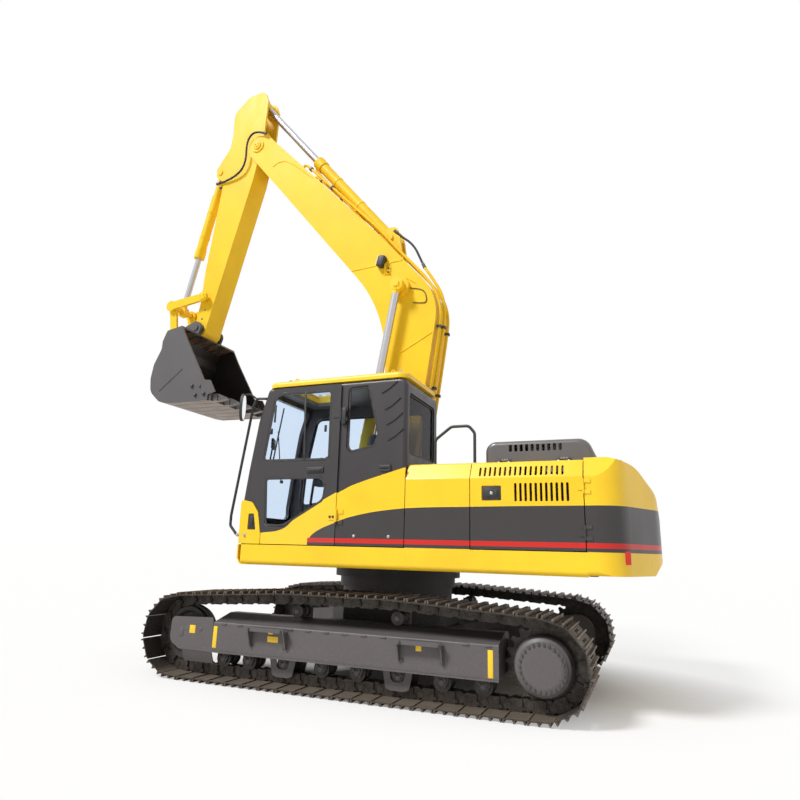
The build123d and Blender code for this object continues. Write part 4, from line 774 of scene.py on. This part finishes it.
class EXCAVATOR_OT_undercarriage(bpy.types.Operator):
    """Bolts, caps, weld tabs, blank strips, and rims whose openings are filled with dark discs of painted
    shade, on the undercarriage
    """
    bl_idname = "excavator.undercarriage"
    bl_label = "Undercarriage fittings"

    def execute(self, context):
        bolts, tabs, plates, hole_shade = (bmesh.new() for _ in range(4))
        for side in SIDES:
            y = side.y * TRACK_Y
            for i in range(DRUM_BOLTS):
                angle = math.tau * i / DRUM_BOLTS
                spot = (-WHEEL_HALF + DRUM_CIRCLE * math.cos(angle), WHEEL_Z + DRUM_CIRCLE * math.sin(angle))
                add_bolt(bolts, skin("final_drives", *spot, side), side, 22, turn=angle)
            for x in ROLLER_XS:
                for step in (-30, 30):
                    add_bolt(bolts, skin("rollers", x + step, ROLLER_Z + 22, side), side, 26)
                add_round(tabs, skin("rollers", x, ROLLER_Z - 2, side), side, 27, 8, 22, 20, 2)
            for x in CARRIER_XS:
                add_round(tabs, at(x, y + side.y * CARRIER_CAP[0], CARRIER_CAP[1]), side, 23, 7, 19, 20, 2)
            add_round(tabs, at(WHEEL_HALF, y + side.y * 94, WHEEL_Z), side, 34, 10, 28, 24, 2)
            for x in range(-1385, 1390, 190):
                if not any(low - 15 < x < high + 15 for low, high in STEPS):
                    add_box(tabs, skin("side_frames", x, 541, side) + side * 0.004, (62, 12, 14), 4)
            for low, high in STEPS:
                for x in (low + 22, high - 22):
                    for z in (372, 524):
                        add_bolt(bolts, skin("side_frames", x, z, side), side, 22)
            for x, z, wide, tall in STRIPS:
                add_box(plates, skin("side_frames", x, z, side) + side * 0.0005, (wide, 3, tall), 1)
            for x, z, radius, rim in ((1560, 470, 14, 24), (1802, 431, 30, 42)):
                face = skin("side_frames", x, z, side)
                # A flat dark disc just under the face fills each opening: painted shade.
                add_round(hole_shade, face - side * 0.0005, side, radius, 2, None, 24)
                add_round(tabs, face, side, rim, 5, rim - 4, 28, 1.5)
        piece_from("frame_bolts", bolts, "undercarriage", "bolt steel")
        piece_from("frame_tabs", tabs, "undercarriage", "undercarriage paint")
        piece_from("blank_strips", plates, "undercarriage", "plain strip")
        piece_from("frame_hole_shade", hole_shade, "undercarriage", "black plastic")
        return {"FINISHED"}


# Window openings: (X, z), and (Y, z) for the rear one.
DOOR_UPPER = [(212, 2872), (800, 2882), (905, 2838), (1000, 2148), (205, 2140)]
DOOR_LOWER = [(285, 1985), (950, 1985), (915, 1494), (700, 1488), (250, 1745), (230, 1900)]
QUARTER = [(40, 2880), (-195, 2890), (-318, 2390), (-275, 2262), (-5, 2208), (40, 2262)]
RIGHT_PANE = [(900, 2780), (1050, 2050), (1050, 1750), (-450, 2000), (-450, 2780)]
REAR_PANE = [(540, 2200), (1290, 2190), (1290, 2800), (540, 2800)]
SLIDE_BAR = [(520, 2870), (543, 2870), (512, 2150), (489, 2150)]


class EXCAVATOR_OT_glazing(bpy.types.Operator):
    """Rubber seals round every window, the sliding pane's bar, catches and the wiper"""
    bl_idname = "excavator.glazing"
    bl_label = "Window seals"

    def execute(self, context):
        on_door, on_cab, wiper = (bmesh.new() for _ in range(3))
        add_seal(on_door, line_at(DOOR_UPPER, DOOR_FACE + 0.5), LEFT, 26, 5, 52)
        add_seal(on_door, line_at(DOOR_LOWER, DOOR_FACE + 0.5), LEFT, 24, 5, 46)
        add_seal(on_cab, line_at(QUARTER, QUARTER_FACE), LEFT, 26, 9, 55)
        add_seal(on_cab, line_at(RIGHT_PANE, CAB_RIGHT_FACE), RIGHT, 20, 9, 70)
        add_seal(on_cab, [at(CAB_REAR_FACE, y, z) for y, z in REAR_PANE], BACK, 22, 10, 50)
        add_plate(on_door, line_at(SLIDE_BAR, DOOR_FACE), LEFT, 9, 0, 3)
        add_box(on_door, at(600, DOOR_FACE + 3, 2152), (770, 7, 12), 2)
        for x, z, wide, tall in ((916, 2466, 30, 62), (273, 2467, 26, 70)):
            add_box(on_door, at(x, DOOR_FACE + 5, z), (wide, 14, tall), 5)
            add_box(on_door, at(x, DOOR_FACE + 14, z), (wide * 0.5, 10, tall * 0.5), 4)
        add_box(on_door, at(885, DOOR_FACE + 4, 2656), (22, 12, 190), 5)
        piece_from("door_seals", on_door, "cab_door", "rubber")
        piece_from("cab_seals", on_cab, "house", "rubber")
        for y in (700, 1080):
            add_round(wiper, at(1178, y, 2018), AHEAD, 20, 26, 16, 18, 3)
        add_bar(wiper, at(1196, 700, 2020), at(1128, 930, 2560), 6, 8)
        add_box(wiper, at(1118, 934, 2520), (12, 16, 620), 3, spun(-9, "Y"))
        piece_from("wiper", wiper, "house", "black plastic")
        return {"FINISHED"}


VENT = [(1114, 1462), (1114, 1618), (1055, 1618), (1023, 1462)]
CAB_TRIM = (((66, 1372, 2582), (46, 34, 168), 8), ((1078, 1366, 1540), (40, 9, 96), 5),
            ((-390, 1364, 2062), (118, 12, 30), 6))    # centre, size and rounding
ROOF_TOP = 3008
MIRROR = (1290, 1392, 2745)


class EXCAVATOR_OT_cab_fittings(bpy.types.Operator):
    """Door bar, hinge block, vent, bolts, lifting eyes and the mirror's glass"""
    bl_idname = "excavator.cab_fittings"
    bl_label = "Cab fittings"

    def execute(self, context):
        door, black, steel, glass = (bmesh.new() for _ in range(4))
        add_box(door, at(365, DOOR_FACE + 13, 2048), (194, 14, 60), 12, segments=3)
        add_box(door, at(365, DOOR_FACE + 23, 2048), (150, 10, 26), 4)
        for x in (135, 170):
            add_bolt(door, at(x, DOOR_FACE + 15, 1590), LEFT, 20)
        piece_from("door_bar", door, "cab_door", "black plastic")
        add_plate(black, line_at(VENT, DOOR_FACE - 2.5), LEFT, 4, 10)
        for centre, size, rounding in CAB_TRIM:
            add_box(black, at(*centre), size, rounding, segments=3)
        piece_from("cab_trim", black, "house", "black plastic")
        for x in (1234, 1147):
            add_bolt(steel, at(x, 1370, 1404), LEFT, 26)
        for x in (-450, -95):
            add_bolt(steel, skin("cab_skirt", x, 1412), LEFT, 24)
        for x in (-470, 820):
            for y in (560, 1220):
                add_round(steel, at(x, y, ROOF_TOP), UP, 30, 12, 26, 20, 2)
                add_ring(steel, at(x, y, ROOF_TOP + 24), LEFT, 20, 8)
        piece_from("cab_bolts", steel, "house", "bright steel")
        turned = spun(20, "Z")
        placed = Matrix.Translation(at(*MIRROR) + turned @ mm(-14.2, 0, 0)) @ turned @ spun(-90, "Y")
        bmesh.ops.create_circle(glass, cap_ends=True, segments=40, radius=1.0,
                                matrix=placed @ Matrix.Diagonal((0.136, 0.066, 1, 1)))
        piece_from("mirror_glass", glass, "house", "mirror")
        return {"FINISHED"}


LID_HINGE_XS = (-1492, -2026)
RAIL_FOOT_XS = (-840, -1228)
TANK_CAPS = ((620, -900, 62), (180, -820, 48))     # X, Y and radius


class EXCAVATOR_OT_house_fittings(bpy.types.Operator):
    """Door locks, lid hinge bolts, rail feet, reflectors, lifting lugs and tank caps"""
    bl_idname = "excavator.house_fittings"
    bl_label = "House fittings"

    def execute(self, context):
        steel, lid, black, red = (bmesh.new() for _ in range(4))
        for side, node in ((LEFT, "side_door_left"), (RIGHT, "side_door_right")):
            lock, dark = bmesh.new(), bmesh.new()
            seat = skin(node, -1420, 1801, side)
            for out, x, size, rounding, segments in ((2, 0, (168, 5, 122), 10, 2), (6, 0, (120, 8, 72), 8, 3),
                                                     (11, -38, (26, 8, 46), 5, 2)):
                add_box(dark, seat + mm(x, side.y * out, 0), size, rounding, segments=segments)
            add_round(lock, seat + side * 0.009, side, 15, 4, 13, 24, 1.5)
            piece_from(node + "_latch", dark, node, "black plastic")
            piece_from(node + "_lock", lock, node, "bright steel")
        for x in LID_HINGE_XS:
            for step in (-22.5, 0, 22.5):
                add_bolt(lid, at(x + step, 1122, 2129), UP, 17, False)
            for step in (-45, 45):
                add_bolt(steel, at(x + step, 1168, 2097.5), UP, 20)
        piece_from("lid_bolts", lid, "engine_cover", "bright steel")
        for x in RAIL_FOOT_XS:
            add_round(steel, at(x, 1200, 2085.5), UP, 34, 8, 32, 24, 2)
            for step in (24, -24):
                add_bolt(steel, at(x + step, 1200, 2093), UP, 12, False)
        for y in (-640, 640):
            add_round(black, at(-2480, y, 2101), UP, 70, 6, 64, 28, 2)
            add_ring(steel, at(-2480, y, 2122), AHEAD, 34, 13)
        piece_from("deck_bolts", steel, "house", "bright steel")
        for x, y, radius in TANK_CAPS:
            seat = touch("tanks", at(x, y, 3300), -UP)
            add_round(black, seat - UP * 0.001, UP, radius + 8, 10, radius + 4, 32, 2)
            add_round(black, seat + UP * 0.009, UP, radius, 34, radius - 4, 12, 4)
        piece_from("caps", black, "house", "black plastic")
        for side in SIDES:
            face = skin("counterweight", -2500, 1275, side)
            add_box(red, face + side * 0.003, (72, 12, 104), 4, segments=3)
        piece_from("reflectors", red, "house", "red reflector")
        return {"FINISHED"}


# Lines along the boom, (X, z) in millimetres from the swing axis.
OUTER_PIPE = [(-190, 2110), (-262, 2135), (-300, 2400), (-408, 3128), (-520, 3910), (-534, 4120),
              (-490, 4330), (-350, 4565), (-133, 4815), (117, 5103), (330, 5372), (461, 5508),
              (1063, 6142), (1420, 6518), (1500, 6602), (1548, 6598), (1558, 6556)]
MIDDLE_PIPE = [(-190, 2130), (-290, 2160), (-330, 2400), (-440, 3160), (-552, 3910), (-566, 4130),
               (-530, 4352), (-395, 4592), (-296, 4742)]
CLAMPED = (3, 4, 12, 13)       # points of a pipe that a clamp holds
PIPE_RADIUS = 19
CLAMP_REACH = 40
GREASE_LINE = [(-129, 4432), (-261, 4412), (-353, 4359), (-380, 4225), (-329, 4206), (-199, 4232)]
WELDS = [[(663, 4791), (-35, 4830)], [(-41, 3602), (-446, 3823)],
         [(2035, 6658), (1956, 6728), (1733, 6684), (1362, 6321)], [(-14, 4588), (-122, 4585), (-216, 4490)]]
LAMP_LEAN = -14


def side_name(side):
    return "left" if side.y > 0 else "right"


def clamp(shape, centre, along, out):
    """Pipe clamp with one bolt, round a pipe, standing on the plate behind it."""
    turn = Vector(along).to_track_quat("X", "Z").to_matrix().to_4x4()
    add_box(shape, centre - out * (CLAMP_REACH / 2 - PIPE_RADIUS) / 1000,
            (34, PIPE_RADIUS * 2.6, CLAMP_REACH + PIPE_RADIUS), 4, turn)
    add_bolt(shape, centre + out * PIPE_RADIUS / 1000, out, 15, False)


class EXCAVATOR_OT_boom_fittings(bpy.types.Operator):
    """Pipes, clamps, grease line, weld seams, pin caps and the work light of the boom"""
    bl_idname = "excavator.boom_fittings"
    bl_label = "Boom fittings"

    def execute(self, context):
        caps, lamp, lens, clamps = (bmesh.new() for _ in range(4))
        for name, y, line in (("boom_pipe_left", 150, OUTER_PIPE), ("boom_pipe_middle", 90, MIDDLE_PIPE),
                              ("boom_pipe_right", -150, OUTER_PIPE)):
            points = line_at(line, y)
            pipe(name, points, PIPE_RADIUS, "boom", "boom paint", 4)
            for i in CLAMPED:
                if i < len(points) - 1:
                    along = points[i + 1] - points[i - 1]
                    clamp(clamps, points[i], along, along.cross(LEFT).normalized())
        piece_from("pipe_clamps", clamps, "boom", "bolt steel")
        pipe("grease_line", line_at(GREASE_LINE, BOOM_FACE + 6), 5.5, "boom", "rubber")
        for number, line in enumerate(WELDS):
            for side in SIDES:
                points = line_at(line, side.y * (BOOM_FACE + 0.5))
                pipe(f"weld_{number}_{side_name(side)}", points, 8, "boom", "boom paint")
        for side in SIDES:
            face = at(-63, side.y * 380.5, 4414)
            add_round(caps, face, side, 62, 12, 57, 32, 2)
            add_round(caps, face + side * 0.011, side, 26, 8, 22, 28, 2)
            face = skin("nose_shaft", 2340, 7090, side)
            add_round(caps, face - side * 0.001, side, 50, 7, 46, 32, 1.5)
            add_bolt_ring(caps, face + side * 0.006, side, 28, 15, 0.4)
        add_box(caps, at(158, BOOM_FACE + 7, 4712), (88, 16, 96), 4)
        add_box(caps, at(182, BOOM_FACE + 25, 4762), (34, 12, 110), 3)
        add_box(lamp, at(226, BOOM_FACE + 35, 4832), (88, 96, 150), 18, spun(LAMP_LEAN, "Y"), 4)
        for z in (4684, 4740):
            add_bolt(lamp, at(140, BOOM_FACE + 22, z), LEFT, 20)
        piece_from("boom_caps", caps, "boom", "boom paint")
        piece_from("boom_lamp", lamp, "boom", "black plastic")
        add_box(lens, at(274, BOOM_FACE + 35, 4843), (10, 92, 142), 14, spun(LAMP_LEAN, "Y"), 3)
        piece_from("boom_lamp_lens", lens, "boom", "lamp lens")
        return {"FINISHED"}


HOSE_RADIUS = 15
NOSE_HOSE = [(2205, 250, 7250), (2297, 250, 7292), (2406, 248, 7315), (2490, 244, 7257), (2531, 236, 7129),
             (2523, 226, 6887), (2597, 212, 6735), (2733, 200, 6666), (2930, 188, 6626), (3042, 172, 6634)]
STICK_HOSE = [(-285, 90, 4766), (-229, 90, 4885), (-172, 90, 5021), (-88, 90, 5134), (25, 90, 5226),
              (112, 90, 5314)]


class EXCAVATOR_OT_hoses(bpy.types.Operator):
    """Rubber hoses with their crimped ends, between boom, cylinders and stick"""
    bl_idname = "excavator.hoses"
    bl_label = "Hoses"

    def execute(self, context):
        self.hose("nose_hose", NOSE_HOSE, "boom", "stick")
        self.hose("stick_hose", STICK_HOSE, "boom", None)
        return {"FINISHED"}

    def hose(self, name, route, body, far_body):
        points = [at(*p) for p in route]
        bare = line_mesh(name + "_path", points, 0)
        path = [v.co.copy() for v in bare.vertices]
        bpy.data.meshes.remove(bare)
        ends = bmesh.new()
        for tip, inner in ((path[0], path[1]), (path[-1], path[-2])):
            way = (inner - tip).normalized()
            add_round(ends, tip - way * 0.012, way, HOSE_RADIUS + 5, 52, None, 20, 1.5)
            add_round(ends, tip - way * 0.03, way, HOSE_RADIUS + 8, 20, None, 6)
        made = dressed(name, line_mesh(name + "_line", points, HOSE_RADIUS), "rubber")
        fittings = piece_from(name + "_ends", ends, None if far_body else body, "bolt steel")
        if far_body:
            for piece in (made, fittings):
                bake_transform(piece)
        else:
            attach(made, body)


# On the arm, (X, z) in millimetres from the swing axis.
LINK_CAPS = (("idler_link", 3040, 4755, 58), ("power_link", *BUCKET_EYE, 44))    # the last is the radius
STICK_PORTS = ((3010, 6660), (2990, 6560))
STICK_PLUGS = ((3037, 4581), (3074, 4447))
CUTTER_BOLTS = ((2754, 3317), (2613, 3306), (2688, 3190), (2534, 3192))
BUCKET_RIB = [(3307, 3291), (3132, 3428), (2956, 3568)]
GLAND_BOLTS = 8


class EXCAVATOR_OT_arm_fittings(bpy.types.Operator):
    """Cylinder pipes and glands, stick ports, pin caps, link bolts and bucket wear parts"""
    bl_idname = "excavator.arm_fittings"
    bl_label = "Arm fittings"

    def execute(self, context):
        caps = {node: bmesh.new() for node, *_ in LINK_CAPS}
        ports, cutter = bmesh.new(), bmesh.new()
        for side in SIDES:
            for node, x, z, radius in LINK_CAPS:
                face = skin(node, x, z, side)
                add_round(caps[node], face - side * 0.001, side, radius, 10, radius - 4, 32, 2)
                add_bolt_ring(caps[node], face + side * 0.009, side, radius * 0.6, 16, 0.3)
            for face in line_at(STICK_PORTS, side.y * STICK_FACE):
                add_round(ports, face - side * 0.001, side, 27, 10, 24, 24, 2)
                add_round(ports, face + side * 0.009, side, 15, 10, 13, 6)
            for face in line_at(STICK_PLUGS, side.y * STICK_FACE):
                add_round(ports, face, side, 16, 4, 12, 6)
            for x, z in CUTTER_BOLTS:
                add_bolt(cutter, skin("bucket", x, z, side), side, 44)
            pipe("bucket_rib_" + side_name(side), line_at(BUCKET_RIB, side.y * BUCKET_FACE), 8, "bucket",
                 "bucket paint")
        piece_from("stick_ports", ports, "stick", "bolt steel")
        piece_from("idler_caps", caps["idler_link"], "idler_link", "boom paint")
        piece_from("power_caps", caps["power_link"], "power_link", "boom paint")
        piece_from("cutter_bolts", cutter, "bucket", "bolt steel")
        self.cylinder("stick_tube", (195, 5252), STICK_EYE, 0, 77, 330, 1850, (0.77, -0.64))
        self.cylinder("bucket_tube", (3095, 6895), BUCKET_EYE, 0, 66, 330, 1400, (0.97, 0.22))
        for side in SIDES:
            self.cylinder("boom_tubes", (500, 1420), BOOM_EYE, side.y * 332, 70, 420, 1500, (-0.98, -0.17),
                          "_" + side_name(side))
        return {"FINISHED"}

    def cylinder(self, body, base, eye, y, radius, low, high, out, suffix=""):
        """Pipe on the out side of a barrel from low to high, its clamps, and the bolts round the gland."""
        start, end = line_at((base, eye), y)
        way = (end - start).normalized()
        out = Vector((out[0], 0, out[1]))
        out = (out - way * way.dot(out)).normalized()
        near, far = start + way * low / 1000, start + way * high / 1000
        wall, reach = out * radius / 1000, out * (radius + 26) / 1000
        points = [near + wall, near + reach, near + reach + way * 0.08, far + reach - way * 0.10, far + reach,
                  far + wall]
        pipe(body + suffix + "_pipe", points, 13, body, "boom paint")
        bands = bmesh.new()
        for share in (0.3, 0.68):
            centre = near + (far - near) * share
            add_sleeve(bands, centre - way * 0.02, way, radius - 2, radius + 5, 40)
            add_box(bands, centre + out * (radius + 16) / 1000, (34, 30, 38), 4, facing(Vector(), out))
        for i in range(GLAND_BOLTS):
            spot = spun(360 * i / GLAND_BOLTS, way) @ (out * (radius + 9) / 1000)
            add_bolt(bands, far - way * 0.002 + spot, way, 15, False)
        piece_from(body + suffix + "_bands", bands, body, "boom paint")


SEAM_WIDTH, SEAM_DEPTH = 0.011, 0.011
CLOTH_FRAMES = 20


class EXCAVATOR_OT_seat(bpy.types.Operator):
    """Padded seat, back and head rest, blown up as cloth and drawn in along their sewn channels"""
    bl_idname = "excavator.seat"
    bl_label = "Seat"

    def execute(self, context):
        lean = Matrix.Rotation(math.atan2(-75, 580), 4, "Y")
        level = Matrix.Identity(4)
        self.pad("seat_cushion", at(130, 891, 1845), level, (506, 476, 86), UP, (-0.09, 0.09), 22)
        self.pad("seat_back", at(-103, 891, 2190), lean, (100, 452, 556), AHEAD, (-0.12, 0.12), 22)
        self.pad("head_rest", at(-145, 891, 2566), lean, (68, 244, 156), AHEAD, (), 14)
        return {"FINISHED"}

    def pad(self, name, centre, turn, size, face, channels, most):
        """One pad, its seams at the Y of the channels. The cloth moves by most millimetres."""
        shape = bmesh.new()
        placed = Matrix.Translation(centre) @ turn
        core = mm(*(side - 12 for side in size))
        bmesh.ops.create_cube(shape, size=1.0, matrix=placed @ Matrix.Diagonal((*core, 1)))
        soften(shape, shape.edges, min(size) * 0.3, 4)
        piece = piece_from(name, shape, "house", "seat cloth")
        self.apply(piece, "REMESH", mode="VOXEL", voxel_size=0.010)
        rest = [v.co.copy() for v in piece.data.vertices]
        self.blow(piece)
        back = placed.inverted()
        for corner, start in zip(piece.data.vertices, rest):
            moved = corner.co - start
            if moved.length > most / 1000:
                corner.co = start + moved.normalized() * most / 1000
            spot = back @ corner.co
            for line in channels:
                if (spot.z if face is UP else spot.x) > 0:
                    spot = spot - face * math.exp(-((spot.y - line) / SEAM_WIDTH) ** 2) * SEAM_DEPTH
            if face is UP:
                spot.z = max(spot.z, 0.002 - size[2] / 2000)
            corner.co = placed @ spot
        for polygon in piece.data.polygons:
            polygon.use_smooth = True
        self.apply(piece, "SUBSURF", levels=1, render_levels=1)
        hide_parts("seat")

    def blow(self, piece):
        """Lets pressure fill the cloth, frame by frame."""
        cloth = piece.modifiers.new("cloth", "CLOTH")
        cloth.settings.use_pressure = True
        cloth.settings.uniform_pressure_force = 4.0
        cloth.settings.effector_weights.gravity = 0.0
        cloth.settings.quality = 5
        cloth.point_cache.frame_start, cloth.point_cache.frame_end = 1, CLOTH_FRAMES
        for number in range(1, CLOTH_FRAMES + 1):
            bpy.context.scene.frame_set(number)
        self.bake(piece)
        bpy.context.scene.frame_set(1)

    def apply(self, piece, kind, **settings):
        made = piece.modifiers.new(kind.lower(), kind)
        for key, value in settings.items():
            setattr(made, key, value)
        self.bake(piece)

    def bake(self, piece):
        """Applies the modifiers, so that none is left on the piece."""
        graph = bpy.context.evaluated_depsgraph_get()
        mesh = bpy.data.meshes.new_from_object(piece.evaluated_get(graph))
        piece.modifiers.clear()
        old = piece.data
        piece.data = mesh
        bpy.data.meshes.remove(old)


class EXCAVATOR_OT_controls(bpy.types.Operator):
    """Safety lever with its knob, and a display on its post"""
    bl_idname = "excavator.controls"
    bl_label = "Controls"

    def execute(self, context):
        red, black = bmesh.new(), bmesh.new()
        add_round(red, at(300, 1262, 2165), UP, 15, 30, 12, 20, 5)
        add_bar(black, at(300, 1262, 2060), at(300, 1262, 2166), 7, 10)
        add_box(black, at(985, 1215, 2360), (26, 150, 110), 8, spun(25, "Z"), 3)
        add_bar(black, at(1000, 1232, 2180), at(990, 1220, 2320), 9, 10)
        piece_from("safety_lever", red, "house", "red reflector")
        piece_from("cab_display", black, "house", "black plastic")
        return {"FINISHED"}


# The oval holds the floor's painted shadow and its fade to white.
OVAL = (2.1, 1.25)         # half length and half width of the floor's shade, in metres
SKY = (1.0, 0.93, 0.84, 1)
SUNS = (("key", (42, 0, 142), 1.0, 14), ("back fill", (60, 0, -70), 0.10, 60))    # turn, share and size
CAMERA_PLACE = (-2690.9, 6626.5, 1294.5)
CAMERA_TURN = (-67.664, 13.946, 1.4705)    # yaw, pitch and roll in degrees


class EXCAVATOR_OT_stage(bpy.types.Operator):
    """Lay the pale floor, set the lamps and place the camera"""
    bl_idname = "excavator.stage"
    bl_label = "Stage"

    def execute(self, context):
        settings = context.scene.excavator_stage
        self.floor()
        self.lamps(context, settings)
        self.camera(context, settings)
        context.scene.view_settings.view_transform = "Standard"
        return {"FINISHED"}

    def floor(self):
        """Floor with a painted shadow under the machine, fading to white round it."""
        long, wide = OVAL
        finish = Finish("floor")
        oval = finish.node("Mapping", {"Vector": finish.place, "Location": (-SWING_X / long, 0, 0),
                                       "Scale": (1 / long, 1 / wide, 0)})
        away = finish.node("VectorMath", {0: oval.outputs["Vector"]}, operation="LENGTH").outputs["Value"]
        # Base colour darkened near the machine: a painted shadow.
        finish.set(Base_Color=finish.ramp(away, 0.5, 1.2, 0.30, 0.86), Roughness=0.9)
        seen = finish.node("LightPath").outputs["Is Camera Ray"]
        white = finish.node("Emission", {"Strength": 1.0})
        share = finish.times(seen, finish.ramp(away, 0.85, 1.9, 0.0, 0.78))
        finish.surface(share, finish.shader, white, "Material Output")
        shape = bmesh.new()
        bmesh.ops.create_grid(shape, x_segments=1, y_segments=1, size=400.0)
        dressed("floor", mesh_of("floor", shape), "floor")

    def lamps(self, context, settings):
        """Even warm light from all round, seen as plain white, and two suns."""
        world = bpy.data.worlds.new("studio")
        context.scene.world = world
        world.use_nodes = True
        sky = Nodes(world.node_tree)
        even = world.node_tree.nodes["Background"]
        even.inputs["Color"].default_value = SKY
        even.inputs["Strength"].default_value = settings.fill
        white = sky.node("Background", {"Color": (1, 1, 1, 1)})
        rays = sky.node("LightPath").outputs
        seen = sky.most(sky.most(rays["Is Camera Ray"], rays["Is Glossy Ray"]), rays["Is Transmission Ray"])
        sky.surface(seen, even, white, "World Output")
        for name, turn, share, size in SUNS:
            lamp = bpy.data.lights.new(name, "SUN")
            lamp.energy = settings.sun * share
            lamp.angle = math.radians(size)
            set_down(name, lamp).rotation_euler = [math.radians(degrees) for degrees in turn]

    def camera(self, context, settings):
        yaw, pitch, roll = (math.radians(degrees) for degrees in CAMERA_TURN)
        ahead = Vector((math.cos(yaw) * math.cos(pitch), math.sin(yaw) * math.cos(pitch), math.sin(pitch)))
        right = ahead.cross(UP).normalized()
        up = right.cross(ahead)
        across = right * math.cos(roll) + up * math.sin(roll)
        upward = up * math.cos(roll) - right * math.sin(roll)
        lens = bpy.data.cameras.new("camera")
        lens.sensor_width = 36.0
        lens.lens = settings.lens
        lens.clip_end = 1000.0
        placed = Matrix((across, upward, -ahead)).transposed().to_4x4()
        placed.translation = at(*CAMERA_PLACE)
        context.scene.camera = set_down("camera", lens)
        context.scene.camera.matrix_world = placed


OPERATORS = (EXCAVATOR_OT_finishes, EXCAVATOR_OT_stage, EXCAVATOR_OT_hoses, EXCAVATOR_OT_tracks,
             EXCAVATOR_OT_undercarriage, EXCAVATOR_OT_glazing, EXCAVATOR_OT_cab_fittings,
             EXCAVATOR_OT_house_fittings, EXCAVATOR_OT_boom_fittings, EXCAVATOR_OT_arm_fittings,
             EXCAVATOR_OT_seat, EXCAVATOR_OT_controls)


class EXCAVATOR_PT_panel(bpy.types.Panel):
    """Lists the operators and the settings in the sidebar"""
    bl_idname = "EXCAVATOR_PT_panel"
    bl_label = "Excavator"
    bl_space_type = "VIEW_3D"
    bl_region_type = "UI"
    bl_category = "Excavator"

    def draw(self, context):
        for operator in OPERATORS:
            self.layout.operator(operator.bl_idname)
        for settings in (context.scene.excavator_paint, context.scene.excavator_stage):
            for name in settings.__annotations__:
                self.layout.prop(settings, name)


CLASSES = (PaintSettings, StageSettings, *OPERATORS, EXCAVATOR_PT_panel)


def register():
    for item in CLASSES:
        bpy.utils.register_class(item)
    bpy.types.Scene.excavator_paint = PointerProperty(type=PaintSettings)
    bpy.types.Scene.excavator_stage = PointerProperty(type=StageSettings)


def unregister():
    del bpy.types.Scene.excavator_stage
    del bpy.types.Scene.excavator_paint
    for item in reversed(CLASSES):
        bpy.utils.unregister_class(item)


def main():
    register()
    for operator in OPERATORS:
        group, name = operator.bl_idname.split(".")
        getattr(getattr(bpy.ops, group), name)()


if __name__ == "__main__":
    main()
